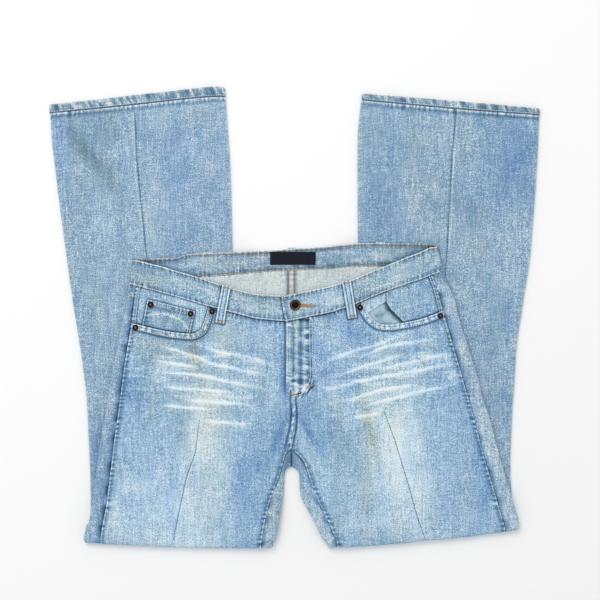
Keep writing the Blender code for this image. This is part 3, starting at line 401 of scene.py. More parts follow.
def front_top_edge(leg):
    """The top edge of a front panel: along the pocket mouth and the waistband to the centre front."""
    edge = mouth_line(leg, SCOOP_COLUMNS)
    edge[-1, 1] = leg.waist(edge[-1, 0])
    x = np.linspace(edge[-1, 0], float(centre_front(leg, 0.0)), FRONT_COLUMNS - SCOOP_COLUMNS + 1)[1:]
    return np.concatenate([edge, np.stack([x, leg.waist(x)], axis=-1)])


def centre_front(leg, y):
    """x of a front's centre edge. The right front runs on over the left one as far as the fly is open."""
    if leg.side > 0:
        return mix(CENTRE + HALF_GAP, FLY_EDGE, smooth((y - FLY_END) / 12))
    return mix(CENTRE - HALF_GAP, CENTRE - 1.0, smooth((y - FLY_END + 20) / 20))


def fold_seams(leg, turn):
    """x of a leg's outseam and inseam on the fold."""
    return [mix(a, b, (90 - turn) / 180) for a, b in zip(leg.fold_seams, leg.lower_edges(0.0)[1])]


def between_seams(leg, outer_x, inner_x):
    """x of a front's columns from its outseam to its inseam."""
    return mix(outer_x - leg.side * HALF_GAP, inner_x + leg.side * HALF_GAP, np.linspace(0, 1, FRONT_COLUMNS))


def front_grid(leg):
    """The outer face of a front panel: rows from the pocket mouth, round the fold and on to the hem."""
    edge = front_top_edge(leg)
    at = np.linspace(0, 1, FRONT_COLUMNS)
    away = edge - mix(edge[0], edge[-1], at[:, None])
    rows = []
    shares = np.concatenate([np.linspace(0, CROTCH_ROW, 141)[:-1], np.linspace(CROTCH_ROW, 1, 72)[:-1]])
    for share in shares:
        outer_y = mix(edge[0, 1], leg.fold_start[0], share)
        if share < CROTCH_ROW:
            inner_y = mix(edge[-1, 1], CROTCH, share / CROTCH_ROW)
            inner_x = centre_front(leg, inner_y)
        else:
            inner_y = mix(CROTCH, leg.fold_start[1], (share - CROTCH_ROW) / (1 - CROTCH_ROW))
            inner_x = leg.inseam(inner_y) + leg.side * HALF_GAP
        outer_x = leg.outseam(outer_y) - leg.side * HALF_GAP
        fade = max(0.0, 1 - share / BLEND) ** 2
        x = mix(float(outer_x), float(inner_x), at) + away[:, 0] * fade
        bow = leg.fold_y(x) + FOLD_REACH - mix(leg.fold_start[0], leg.fold_start[1], at)
        y = mix(outer_y, inner_y, at) + away[:, 1] * fade + bow * smooth((share - 0.8) / 0.2)
        row = leg.seat(x, y, 1.0)
        if leg.side > 0:
            row[:, 2] += fly_lift(x, y)
        rows.append(row)
    for turn in np.linspace(90, -90, 13):
        rows.append(leg.bend(between_seams(leg, *fold_seams(leg, turn)), turn, 1.0))
    for share in np.linspace(0, 1, 28)[1:]:
        x = between_seams(leg, *leg.lower_edges(share)[1])
        rows.append(leg.lower(x, leg.lower_y(x, share), 1.0))
    return np.array(rows)


def from_photo(px, py):
    """Millimetres on the jeans of a place in the photograph."""
    return (np.asarray(px) - PHOTO_CENTRE[0]) * PHOTO_SCALE, (PHOTO_CENTRE[1] - np.asarray(py)) * PHOTO_SCALE


def photo_chain(chain):
    """A chain of photo points as plan points on the jeans."""
    return np.stack(from_photo(*np.array(chain, float).T), axis=-1)


def through(keys, values, at):
    """Rows on a smooth curve through the given rows, which stand at keys."""
    slopes = np.gradient(values, keys, axis=0)
    low = np.clip(np.searchsorted(keys, at) - 1, 0, len(keys) - 2)
    shape = (-1,) + (1,) * (values.ndim - 1)
    span = (keys[low + 1] - keys[low]).reshape(shape)
    t = ((at - keys[low]) / (keys[low + 1] - keys[low])).reshape(shape)
    return curve(values, slopes, low, span, t)


def finer(rows, gap):
    """More rows, no further apart than gap: a number, or one for each space between the rows."""
    spaces = np.linalg.norm(np.diff(rows[..., :3], axis=0), axis=-1).mean(axis=1)
    keys = np.concatenate([[0], np.cumsum(spaces)])
    gaps = np.broadcast_to(gap, spaces.shape)
    at = [np.linspace(a, b, max(1, math.ceil((b - a) / g)) + 1)[:-1] for a, b, g in zip(keys, keys[1:], gaps)]
    return through(keys, rows, np.concatenate(at + [[keys[-1]]]))


def across(grid):
    """A grid with its columns as rows."""
    return grid.transpose(1, 0, 2)


def fine_grid(grid, side_gap, gap):
    """More columns, no further apart than side_gap, and then more rows, no further apart than gap."""
    return finer(across(finer(across(grid), side_gap)), gap)


def bell(away, width):
    """1 where away is 0, fading to either side over about width."""
    return np.exp(-((away / width) ** 2))


def cloud(x, y, size, seed):
    """Smooth noise from -1 to 1 with lumps about size millimetres across."""
    lattice = np.random.default_rng(seed).uniform(-1, 1, (64, 64))
    u, v = np.asarray(x) / size, np.asarray(y) / size
    i, j = np.floor(u).astype(int), np.floor(v).astype(int)
    a, b = smooth(u - i), smooth(v - j)
    low = mix(lattice[i % 64, j % 64], lattice[(i + 1) % 64, j % 64], a)
    high = mix(lattice[i % 64, (j + 1) % 64], lattice[(i + 1) % 64, (j + 1) % 64], a)
    return mix(low, high, b)


def outward(grid, faces_up=True, closed=False):
    """The unit normals of a grid's outer face, and whether its quads have to be turned to face out."""
    if closed:
        side = np.roll(grid, -1, axis=1) - np.roll(grid, 1, axis=1)
    else:
        side = np.gradient(grid, axis=1)
    normals = np.cross(side, np.gradient(grid, axis=0))
    normals /= np.maximum(np.linalg.norm(normals, axis=2, keepdims=True), 1e-9)
    turned = (normals[0, 0, 2] > 0) != faces_up
    return (-normals if turned else normals), turned


def raised(grid, height):
    """A grid moved out along its own normals."""
    return grid + outward(grid)[0] * height[..., None]


def above_floor(grid):
    grid[..., 2] = np.maximum(grid[..., 2], 0.0)
    return grid


def facing_up(grid, closed=False):
    """1 where a grid's outer face looks up, fading to 0 where it turns over."""
    return smooth(outward(grid, True, closed)[0][..., 2] / 0.6)


def reach(grid):
    """How far each point of a grid lies from its first row, last row, first column and last column."""
    down, side = (
        np.insert(np.linalg.norm(np.diff(grid, axis=axis), axis=2).cumsum(axis), 0, 0, axis=axis)
        for axis in (0, 1)
    )
    return down, down[-1:] - down, side, side[:, -1:] - side


def pucker(away, along, pitch, height, width, seed):
    """The small ridges that a shrunken seam draws up across itself."""
    drift = 4.4 * cloud(along, away * 0 + 3.0, pitch * 2.1, seed)
    size = np.clip(0.55 + 0.75 * cloud(along, away * 0 + 9.0, pitch * 1.9, seed + 1), 0, 1.3)
    reach_in = width * (0.75 + 0.5 * cloud(along, away * 0 + 5.0, pitch * 1.3, seed + 2))
    return height * size * np.sin(2 * np.pi * along / pitch + drift) * bell(away, reach_in)


def seam_edge(away, along, seed, lines=(1.9,), worn=0.42):
    """The height, and the fading with its painted shade, that a stitched edge adds to the cloth beside it: it
    wears white on the edge, sinks where it is stitched, with painted shade in that groove and in a band 2.4 mm
    past the last row, and puckers for a few millimetres beyond. With worn below 0 the edge gets painted shade
    instead of wear."""
    away, along = np.broadcast_arrays(away, along)
    ripple = pucker(away, along, 6.4, 0.42, 6.5, seed) + pucker(away, along, 2.9, 0.16, 4.5, seed + 5)
    groove = sum(bell(away - line, 0.8) for line in lines)
    shade = bell(away - lines[-1] - 2.4, 1.9)
    bare = worn * bell(away, 1.3) * (0.85 + 0.3 * cloud(along, away, 5, seed + 7))
    return ripple - 0.3 * groove, 1.7 * ripple + 1.8 * bare - 0.8 * groove - 0.3 * shade


def from_line(a, b, x, y):
    """How far each place is from the line a to b, the share of the way along it, and its length."""
    run = b - a
    size = np.hypot(*run)
    t = np.clip(((x - a[0]) * run[0] + (y - a[1]) * run[1]) / size**2, 0, 1)
    return np.hypot(x - a[0] - t * run[0], y - a[1] - t * run[1]), t, size


def beside(points, x, y):
    """How far each place is from a chain of points, and how far along the chain."""
    nearest = np.full(np.shape(x), 1e9)
    along = np.zeros(np.shape(x))
    done = 0.0
    for a, b in zip(points, points[1:]):
        away, t, size = from_line(a, b, x, y)
        along = np.where(away < nearest, done + t * size, along)
        nearest = np.minimum(nearest, away)
        done += size
    return nearest, along


def offset(points, away):
    """A chain of plan points moved sideways, to its left for a positive distance."""
    ahead = np.gradient(points, axis=0)
    ahead /= np.linalg.norm(ahead, axis=1, keepdims=True)
    return points + away * np.stack([-ahead[:, 1], ahead[:, 0]], axis=-1)


def lines_near(chart, x, y, width):
    """1 on the middle of the nearest listed line, less away from it and towards its ends."""
    found = np.zeros(np.shape(x))
    for chain in chart:
        points = photo_chain(chain)
        length = walked(points)[-1]
        done = 0.0
        for a, b in zip(points, points[1:]):
            away, t, size = from_line(a, b, x, y)
            along = (done + t * size) / length
            ends = smooth(along / 0.25) * smooth((1 - along) / 0.25)
            found = np.maximum(found, bell(away, width) * (0.25 + 0.75 * ends))
            done += size
    return found


def blob(x, y, px, py, wide, tall, lean=0.0):
    """1 at a place of the photograph, fading over an oval of the given half-width and half-height."""
    x0, y0 = from_photo(px, py)
    return np.exp(-(((x - x0 - lean * (y - y0)) / wide) ** 2) - ((y - y0) / tall) ** 2)


# Chains of points in the photograph: the worn creases across the lap, the two lines of the seam below the
# fly with the creases at the fly's foot, and the seams that run down the middle of the thighs.
WHISKERS = (
    ((156, 344), (195, 356), (214, 364), (267, 375)),
    ((200, 345), (220, 352), (247, 356), (271, 364)),
    ((153, 359), (200, 368)),
    ((153, 371), (200, 375), (262, 388)),
    ((160, 386), (234, 392)),
    ((183, 399), (254, 405)),
    ((164, 405), (214, 409)),
    ((201, 420), (251, 424)),
    ((323, 364), (351, 351), (375, 345), (408, 333)),
    ((363, 355), (387, 346), (433, 338)),
    ((340, 375), (369, 364), (406, 353)),
    ((387, 367), (423, 359), (451, 352)),
    ((326, 390), (347, 384), (375, 377), (415, 371), (455, 362)),
    ((347, 400), (380, 390), (416, 384)),
    ((363, 406), (399, 396), (454, 384)),
    ((352, 417), (382, 412)),
)
CROTCH_SEAM = (
    ((289.7, 398.3), (291.3, 410), (290, 426.7), (286.3, 441.7), (284.7, 450)),
    ((295.4, 396), (297, 413.3), (296.3, 428.3), (293.3, 441.7), (291.7, 448)),
)
FOOT_CREASES = (((290, 396), (299, 394), (307, 389.5), (315, 382)),)
LEG_SEAMS = (
    ((200, 419), (196.3, 450.5), (187, 476.5), (175.7, 530), (174.9, 548)),
    ((383.4, 410), (394.9, 441.3), (407, 481), (416.3, 514.8), (424.7, 546)),
)
# The top and the low end of each belt loop on the front, in millimetres
FRONT_LOOPS = {
    "belt_loop_front_left": ((-94.3, 43.6), (-104.0, -8.3)),
    "belt_loop_front_right": ((72.1, 50.4), (80.8, -1.4)),
}


def loop_shadows(x, y):
    """1 along the sides and the lower end of the belt loops over the front, where their painted shadow falls.
    """
    found = np.zeros(np.shape(x))
    for top, low in FRONT_LOOPS.values():
        run = np.subtract(low, top)
        length = np.hypot(*run)
        along = ((x - top[0]) * run[0] + (y - top[1]) * run[1]) / length
        away = np.abs((x - top[0]) * run[1] - (y - top[1]) * run[0]) / length
        side = bell(away - 7.0, 1.1)
        side = side * smooth((along + 2) / 3) * smooth((length + 2.5 - along) / 2)
        end = bell(along - length - 1.4, 1.1) * smooth((8 - away) / 2)
        found = np.maximum(found, np.maximum(side, end))
    return found


def linear(colour):
    """An sRGB hex colour as the linear values that a shader takes."""
    parts = np.array([int(colour[i:i + 2], 16) for i in (1, 3, 5)]) / 255
    return (*np.where(parts <= 0.04045, parts / 12.92, ((parts + 0.055) / 1.055) ** 2.4), 1.0)


def add(tree, kind, settings, links, stops=(), out=0):
    """A shader node with its settings and the sockets that feed it, and on a colour ramp its stops of place
    and colour. It gives the output that is asked for. The shader itself is in the tree already."""
    made = tree.nodes[kind] if kind in tree.nodes else tree.nodes.new(kind)
    for key, value in settings.items():
        if isinstance(key, int) or key in made.inputs:
            made.inputs[key].default_value = value
        else:
            setattr(made, key, value)
    for key, source in links.items():
        tree.links.new(source, made.inputs[key])
    if stops:
        made.color_ramp.elements.remove(made.color_ramp.elements[1])
    for k, (place, colour) in enumerate(stops):
        stop = made.color_ramp.elements[0] if k == 0 else made.color_ramp.elements.new(place)
        stop.position = place
        stop.color = linear(colour) if isinstance(colour, str) else (colour, colour, colour, 1)
    return made.outputs[out]


def new_material(name):
    """A material, its node tree, and the place on the object from which its patterns are drawn."""
    made = bpy.data.materials.new(name)
    made.use_nodes = True
    return made, made.node_tree, add(made.node_tree, "ShaderNodeTexCoord", {}, {}, out="Object")


# Cotton warp-faced twill, stone washed. Real threads are 0.5 mm apart, too fine to show from this far, so
# the diagonal is drawn 1.7 mm apart. Washing wears raised places white and leaves slubs down the warp.
TWILL_PITCH = 1.7 * MM
SLUB_WIDTH = 1.7 * MM
WAVE = 0.32            # the scale at which a wave texture's bands are about a metre apart
HIPS, WAIST = -120 * MM, -20 * MM    # the threads show more and more from the hips to the waist


def washed_denim(name, stops, grain=1.0, at_waist=1.0):
    """grain is how strongly the threads show, and at_waist how many times more they do at the waist."""
    made, tree, place = new_material(name)
    wash = add(tree, "ShaderNodeAttribute", {"attribute_name": "wash"}, {}, out="Fac")
    slub, pick = (
        add(tree, "ShaderNodeTexNoise", {"Scale": 1.0, "Detail": detail, "Roughness": rough},
            {"Vector": add(tree, "ShaderNodeMapping", {"Scale": [share / SLUB_WIDTH for share in stretch]},
                           {"Vector": place})})
        for stretch, detail, rough in (((1, 0.07, 0.1), 3.0, 0.65), ((0.16, 1, 0.1), 2.0, 0.6))
    )
    # Specks of 0.8 to a millimetre, and mottling of one lump in about 45 millimetres
    speck, mottle = (
        add(tree, "ShaderNodeTexNoise", {"Scale": lumps / MM, "Detail": detail, "Roughness": rough},
            {"Vector": place})
        for lumps, detail, rough in ((0.8, 3.0, 0.7), (0.022, 5.0, 0.62))
    )
    twill = add(tree, "ShaderNodeTexWave",
                {"wave_type": "BANDS", "bands_direction": "DIAGONAL", "Scale": WAVE / TWILL_PITCH,
                 "Distortion": 1.5, "Detail": 1.0, "Detail Scale": 2.0}, {"Vector": place}, out="Fac")
    threads = None
    for source, share in ((slub, 0.85), (pick, 0.6), (speck, 3.0), (mottle, 0.3)):
        centred = add(tree, "ShaderNodeMath", {"operation": "SUBTRACT", 1: 0.5}, {0: source})
        links = {0: centred} if threads is None else {0: centred, 2: threads}
        threads = add(tree, "ShaderNodeMath", {"operation": "MULTIPLY_ADD", 1: share * grain, 2: 0.0}, links)
    up_body = add(tree, "ShaderNodeSeparateXYZ", {}, {"Vector": place}, out="Y")
    up_to_waist = {"From Min": HIPS, "From Max": WAIST, "To Min": 1.0, "To Max": at_waist}
    stronger = add(tree, "ShaderNodeMapRange", up_to_waist, {"Value": up_body})
    total = add(tree, "ShaderNodeMath", {"operation": "MULTIPLY_ADD"}, {0: threads, 1: stronger, 2: wash})
    lines = add(tree, "ShaderNodeMath", {"operation": "MULTIPLY_ADD", 1: 0.05 * grain, 2: -0.025 * grain},
                {0: twill})
    total = add(tree, "ShaderNodeMath", {"operation": "ADD", "use_clamp": True}, {0: total, 1: lines})
    tint = add(tree, "ShaderNodeAttribute", {"attribute_name": "tint"}, {}, out="Fac")
    streak = add(tree, "ShaderNodeMath", {"operation": "MULTIPLY_ADD", 1: 0.9, 2: -0.45}, {0: mottle})
    tint = add(tree, "ShaderNodeMath", {"operation": "ADD"}, {0: tint, 1: streak})
    colour = add(tree, "ShaderNodeValToRGB", {}, {"Fac": total}, stops)
    # Yellowed where the tint is above 0, blue where it is below, and greyed as painted shade where the fading
    # is below 0
    for source, strength, shade in ((tint, 0.5, "#f6e6c8"), (tint, -0.5, "#c4d9ff"), (wash, -1.3, "#868e8a")):
        amount = add(tree, "ShaderNodeMath", {"operation": "MULTIPLY", "use_clamp": True, 1: strength},
                     {0: source})
        colour = add(tree, "ShaderNodeMix", {"data_type": "RGBA", "blend_type": "MULTIPLY", 7: linear(shade)},
                     {"Factor": amount, 6: colour}, out=2)
    weave = add(tree, "ShaderNodeMath", {"operation": "MULTIPLY_ADD", 1: 0.35}, {0: twill, 2: slub})
    weave = add(tree, "ShaderNodeMath", {"operation": "MULTIPLY_ADD", 1: 0.6}, {0: speck, 2: weave})
    bump = add(tree, "ShaderNodeBump", {"Strength": 0.8, "Distance": 0.5 * MM}, {"Height": weave})
    surface = {"Roughness": 0.92, "Specular IOR Level": 0.25, "Sheen Weight": 0.12, "Sheen Roughness": 0.6}
    add(tree, "Principled BSDF", surface, {"Base Color": colour, "Normal": bump})
    return made


WASH_STOPS = ((0.0, "#527ca4"), (0.28, "#7ba1c0"), (0.52, "#9cbdd4"), (0.75, "#bdd6e3"), (1.0, "#e3eef0"))
WEFT_STOPS = ((0.0, "#98a7ad"), (0.35, "#b4c2c6"), (0.65, "#ccd7d8"), (1.0, "#e6ebe9"))
denim_front = washed_denim("washed denim, warp side, faded", WASH_STOPS, at_waist=1.2)
denim_inside = washed_denim("washed denim, weft side", WEFT_STOPS, grain=1.2)


def placed(name, data):
    """A mesh, a lamp or a camera as an object in the scene."""
    made = bpy.data.objects.new(name, data)
    bpy.context.scene.collection.objects.link(made)
    return made


def cloth(node, grid, wall, materials, wash, cut, name=None, closed=False, faces_up=True,
          tint=0.0):
    """A piece of cloth in the place of a CAD node: its outer face, made solid inwards. Its fading is given
    for each point, and below 0 it is painted shade at an edge. tint is how yellow it is above 0 and how blue
    below it.
    cut is the width and length that the piece was cut to; it is not used."""
    rows, columns = grid.shape[:2]
    turned = outward(grid, faces_up, closed)[1]
    index = np.arange(rows * columns).reshape(rows, columns)
    if closed:
        index = np.concatenate([index, index[:, :1]], axis=1)
    corners = [index[:-1, :-1], index[:-1, 1:], index[1:, 1:], index[1:, :-1]]
    quads = np.stack(corners[::-1] if turned else corners, axis=-1).reshape(-1, 4)
    name = name or node + "_cloth"
    mesh = bpy.data.meshes.new(name)
    mesh.from_pydata((grid.reshape(-1, 3) * MM).tolist(), [], quads.tolist())
    for kind, amount in (("wash", wash), ("tint", tint)):
        values = np.broadcast_to(np.asarray(amount, np.float32), (rows, columns)).ravel()
        mesh.attributes.new(kind, "FLOAT", "POINT").data.foreach_set("value", values)
    mesh.shade_smooth()
    for material in materials:
        mesh.materials.append(material)
    made = placed(name, mesh)
    thick = made.modifiers.new("wall", "SOLIDIFY")
    thick.thickness = wall * MM
    thick.offset = -1.0
    thick.use_rim = True
    thick.material_offset = len(materials) - 1
    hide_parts(node)
    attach(made, "root")
    return made


thread_lines = {"pale": [], "gold": [], "slate": []}


def stitch_along(colour, grid, edge, away, start=0.0, end=1.0, inside=0.0):
    """Marks a line of stitching beside one edge of a panel, away millimetres in from it. With inside, which
    is the cloth's thickness, the line is on the panel's inner face."""
    down, up, near, far = reach(grid)
    distance = {"top": down, "low": up, "first": near, "last": far}[edge]
    points, normals = grid, outward(grid)[0]
    if edge in ("top", "low"):
        distance, points, normals = distance.T, across(points), across(normals)
    if edge in ("low", "last"):
        distance, points, normals = distance[:, ::-1], points[:, ::-1], normals[:, ::-1]
    count = len(points)
    line, facing_out = [], []
    for i in range(int(start * (count - 1)), int(round(end * (count - 1))) + 1):
        j = int(np.clip(np.searchsorted(distance[i], away) - 1, 0, points.shape[1] - 2))
        part = (away - distance[i, j]) / max(distance[i, j + 1] - distance[i, j], 1e-6)
        line.append(mix(points[i, j], points[i, j + 1], part) - normals[i, j] * inside)
        facing_out.append(-normals[i, j] if inside else normals[i, j])
    thread_lines[colour].append((np.array(line), np.array(facing_out)))


FLY_FOOT_Y = -112      # y just below the fly's curved seam


def faded(chart, leg, x, y, wash, tint, where=1.0):
    """The fading and the tint, with one leg's listed lighter and darker areas added, some of them painted
    shade.
    """
    for part, amount, colour, px, py, wide, tall, lean in chart:
        if part == leg.name:
            spread = blob(x, y, px, py, wide, tall, lean) * where
            wash, tint = wash + amount * spread, tint + colour * spread
    return wash, tint


def front_relief(leg, grid):
    """The folds, puckers and stitched edges of a front panel, as heights, how far washing has faded it with
    painted shade below 0, and how yellow or blue it is."""
    down, _, near, far = reach(grid)
    x, y = grid[..., 0], grid[..., 1]
    top = facing_up(grid)
    mouth, along_mouth = beside(grid[0, :SCOOP_COLUMNS, :2], x, y)
    waist, along_waist = beside(grid[0, SCOOP_COLUMNS - 1:, :2], x, y)
    # The lower leg has the same places in plan, but is another layer
    mouth, waist = np.where(down > 60, 99, mouth), np.where(down > 60, 99, waist)
    whiskers = lines_near(WHISKERS, x, y + 0.8 * cloud(x, y, 15, 24), 2.0) * top
    glow = lines_near(WHISKERS, x, y, 7.5) * top
    fine_lines = np.clip(cloud(x * 0.16 - leg.side * y * 0.1, y, 5.5, 25), 0, 1) ** 2
    fine_lines = fine_lines * bell(y + 85, 62) * top * smooth((np.abs(x) - 20) / 40)
    seam = lines_near(LEG_SEAMS, x, y, 0.9) * top
    by_seam = lines_near(LEG_SEAMS, x - 1.6, y, 1.6) * top
    lumps = 0.5 * cloud(x + 0.5 * y, y, 30, 5) + 0.24 * cloud(x, y - 0.4 * x, 14, 6)
    lumps = lumps + 0.1 * cloud(x, y, 7, 7)
    edges = [
        seam_edge(near, y, 11, (2.0,), 0.38),
        seam_edge(far + 30 * smooth((y + 178) / 6), y, 12, (2.0,), 0.34),
        seam_edge(mouth, along_mouth, 13, (1.9, 7.2), 0.46),
        # Along the waist a worn below 0 paints the shadow of the waistband's edge on the panel
        seam_edge(waist, along_waist, 14, (0.6,), -0.42),
    ]
    height = 0.6 * whiskers + 0.2 * glow + 0.6 * lumps * top - 0.3 * seam + 0.25 * by_seam + 0.15 * fine_lines
    height = height + folds(TOP_FOLDS, x, y) * top + sum(edge[0] for edge in edges)
    height = height + 0.3 * (1 - smooth((mouth - 8.0) / 1.0))
    height = height + 0.5 * cloud(x, y * 0, 26, 17) * bell(y - leg.fold_y(x) - 3, 14) * top
    wash = 0.45 + 0.08 * cloud(x, y, 70, 21) + 0.07 * cloud(x, y, 26, 22) + 0.05 * cloud(x, y * 0.3, 9, 26)
    wash = wash + (0.74 * whiskers + 0.14 * glow) * (0.85 + 0.3 * cloud(x, y, 12, 23)) + 0.4 * fine_lines
    wash = wash - 0.35 * seam + 0.16 * by_seam + sum(edge[1] for edge in edges)
    teeth = cloud(along_mouth, mouth * 0.3, 2.3, 28)
    wash = wash + (0.12 + 0.7 * teeth) * bell(mouth - 4.4, 1.7)
    # Painted shade 9 mm in from the mouth, where the raised band along it drops back to the panel
    wash = wash - 0.5 * bell(mouth - 9.0, 1.1)
    tint = 0.5 * cloud(x * 1.5, y * 0.25, 30, 27) - 0.5 * whiskers
    wash, tint = faded(FADES_AND_SHADES, leg, x, y, wash, tint)
    if leg.side > 0:
        # Over the zip the cloth is ribbed along the fly and drawn into steps across it
        fly = smooth((FLY_FLAT + 3 - x) / 4) * smooth((y - FLY_FOOT_Y - 0.35 * x) / 8)
        ribs = sum(bell(x - at, 1.6) for at in (-6.6, 3.0, 13.5))
        ribs = ribs - sum(bell(x - at, 1.5) for at in (-1.4, 8.6, 19.5))
        steps = cloud(x * 0.28, y + 0.2 * x, 2.4, 31) + 0.6 * cloud(x * 0.5, y - 0.3 * x, 4.2, 32)
        drawn = 0.35 + 0.5 * bell(x - 19, 5) + 0.5 * bell(y + 2, 12)
        drawn = drawn + 0.5 * bell(y + 92, 14)
        height = height + fly * (0.35 * ribs + 0.35 * steps * drawn)
        wash, tint = wash + fly * (0.32 * ribs + 0.8 * steps * drawn - 0.2), tint + 0.45 * fly
        edge = bell(far, 1.5) * smooth((y - FLY_FOOT_Y) / 6)
        stitched = bell(x - 23.5, 2.6) * smooth((y + 95) / 8)
        wash = wash + 0.5 * edge - 0.3 * stitched
    else:
        # The left front is in the shade of the fly's edge
        above_foot = smooth((y - FLY_FOOT_Y) / 12)
        wash = wash - 0.22 * bell(x + 15, 5) * above_foot
        wash = wash - 0.7 * bell(x + 13.2, 1.3) * above_foot
    # Below the fly the seam stands up as a ridge of slanted puckers between two grooves darkened with painted
    # shade
    ridge = lines_near([np.mean(CROTCH_SEAM, axis=0)], x, y, 3.4) * top
    sides = lines_near(CROTCH_SEAM, x, y, 1.2) * top
    slanted = cloud(x * 0.5 + y, y * 0.4 - x, 2.0, 33)
    foot = lines_near(FOOT_CREASES, x, y, 5.0) * top
    teeth = cloud(x * 0.9 - y * 0.5, y * 0.3 + x * 0.1, 2.4, 35)
    height = height + ridge * (0.5 + 0.35 * slanted) - 0.35 * sides + 0.45 * foot * teeth
    wash = wash + ridge * (1.0 * slanted + 0.04) - 1.3 * sides + foot * (1.6 * teeth - 0.4)
    # Painted shadow of the belt loops on the panel beside them
    return height, wash - 0.9 * loop_shadows(x, y) * top, tint


# Where the cloth is lighter or darker, and yellower or bluer: the leg, both amounts, the place in the
# photograph, the half-width and half-height in millimetres, and how much it leans. The two entries of -0.14
# beside the seam below the fly are painted shade.
FADES_AND_SHADES = (
    ("left", 0.39, 0.1, 203, 437, 26, 50, -0.05),
    ("left", 0.26, 0.0, 192, 505, 42, 80, 0.12),
    ("left", 0.10, 0.0, 222, 385, 60, 42, 0),
    ("left", 0.22, 0, 140, 505, 46, 80, 0),
    ("left", -0.08, -0.5, 262, 470, 26, 80, 0.1),
    ("left", -0.12, 0, 125, 400, 26, 70, 0),
    ("left", -0.12, 1.1, 196, 350, 13, 36, 0),
    ("left", 0, 0.5, 208, 400, 12, 70, 0),
    ("left", -0.02, -1.0, 172, 500, 14, 60, 0),
    ("left", -0.04, -1.3, 206, 350, 8, 20, -0.4),
    ("left", -0.10, 0.5, 160, 348, 40, 24, 0),
    ("left", -0.14, 0.1, 284, 432, 10, 44, 0),
    ("right", 0.42, 0.0, 397, 440, 30, 60, -0.2),
    ("right", 0.22, 0.0, 405, 500, 40, 60, -0.15),
    ("right", 0.04, 0, 395, 385, 60, 36, 0),
    ("right", -0.14, 0.1, 385, 345, 50, 16, 0),
    ("right", -0.16, -0.4, 482, 450, 32, 110, -0.3),
    ("right", -0.12, 0.4, 334, 435, 30, 60, -0.4),
    ("right", -0.24, -0.8, 309, 432, 7, 34, -0.6),
    ("left", -0.24, -0.6, 278, 436, 6, 30, 0.45),
    ("right", -0.06, -0.8, 322, 350, 14, 40, -0.4),
    ("right", -0.06, -0.8, 352, 330, 10, 16, -0.4),
    ("right", -0.08, 0.2, 455, 345, 36, 18, 0),
    ("right", -0.06, 0.9, 368, 425, 10, 50, -0.3),
    ("right", 0, -0.7, 440, 480, 16, 60, -0.3),
    ("right", -0.14, 0.1, 290, 432, 10, 44, 0),
)


front = {}
for leg in (left, right):
    fine = front_grid(leg)
    height, wash, tint = front_relief(leg, fine)
    fine = above_floor(raised(fine, height))
    front[leg.name] = fine
    cloth("front_" + leg.name, fine, DENIM, [denim_front, denim_inside], wash, (0.25, 1.0),
          tint=tint)
    stitch_along("pale", fine, "first", 1.9, 0.0, 0.10)
stitch_along("pale", front["right"], "last", 1.9, 0.0, 0.27)

# The two back panels, of the same denim. Each wraps round both sides of its leg, so a strip of it shows
# beside the front, and on the lower legs, which lie back up, it is all that shows, with a seam down each
# leg's middle.
BACK_STOPS = ((0.0, "#5c82a3"), (0.3, "#80a0bb"), (0.55, "#9bb8cc"), (0.8, "#bccfd9"), (1.0, "#e3e9e8"))
denim_back = washed_denim("washed denim, warp side", BACK_STOPS, grain=1.3)
YOKE_SIDE = {"left": 28.0, "right": 47.0}   # y of the yoke seam at the side edge
YOKE_CENTRE = 4.0                           # and at the seat seam
THIGH_ROWS = (CROTCH_ROW, 0.585, 0.62, 0.69, 0.76, 0.83, 0.90, 0.96, 1.0)
BEND_TURNS = (90, 60, 30, 0, -30, -60, -90)
LOWER_ROWS = (0.04, 0.12, 0.22, 0.33, 0.44, 0.55, 0.65, 0.74, 0.81, 0.87, 0.93, 1.0)
ROUND = np.radians([90, 45, 0, -45, -90])  # the angles of a rounded side edge, from the top to the underside
UNDER_COLUMNS = 8      # columns between the two rounded edges
END_COLUMNS = 8        # columns from there to the seat seam or the inseam
# From the yoke to the crotch: the share of the way down at the side, and y at the seat seam
HIP_ROWS = table(
    "share centre_y",
    (-0.1, YOKE_CENTRE), (-0.05, -10), (0.0, -26), (0.08, -50), (0.13, -68), (0.19, -90), (0.26, -116),
    (0.33, -145), (0.385, -174),
)
END_SPACING = np.array([1, 0.76, 0.56, 0.4, 0.27, 0.17, 0.08, 0])
# Round the crotch: how far along its edge a row starts and crosses it, how much its columns gather there,
# and how far over the edge each of its last columns is
CROTCH_ROWS = table(
    "share entry cross gather k0 k1 k2 k3 k4 k5 k6 k7",
    (0.420, 6, 3.0, 0.0, -13, -9.5, -7.0, -5.0, -3.6, -2.5, -1.7, -1),
    (0.440, 7, 3.0, 0.0, -13, -8.0, -5.2, -3.4, -2.2, -1.3, -0.6, 0),
    (0.460, 8, 3.0, 0.0, -13, -6.0, -3.5, -2.0, -1.0, -0.4, 0.3, 1),
    (0.480, 9, 3.5, 0.3, -13, -3.5, -1.6, -0.8, -0.2, 0.4, 1.0, 3),
    (0.505, 10, 4.5, 0.7, -13, -1.4, -0.8, -0.2, 0.4, 1.0, 4.0, 8),
    (0.530, 11, 6.2, 1.0, -13, -1.0, -0.5, 0.0, 0.5, 1.0, 8.0, 15.5),
)
LOWER_FOLDS = table(
    "x0 y0 x1 y1 width height",
    (-256, 274, -325, 171, 12, 1.2), (-300, 262, -232, 214, 12, -0.6), (-160, 245, -120, 170, 14, 0.6),
    (300, 245, 322, 160, 14, 1.0), (150, 262, 118, 180, 14, 0.7), (262, 170, 292, 110, 13, -0.5),
)
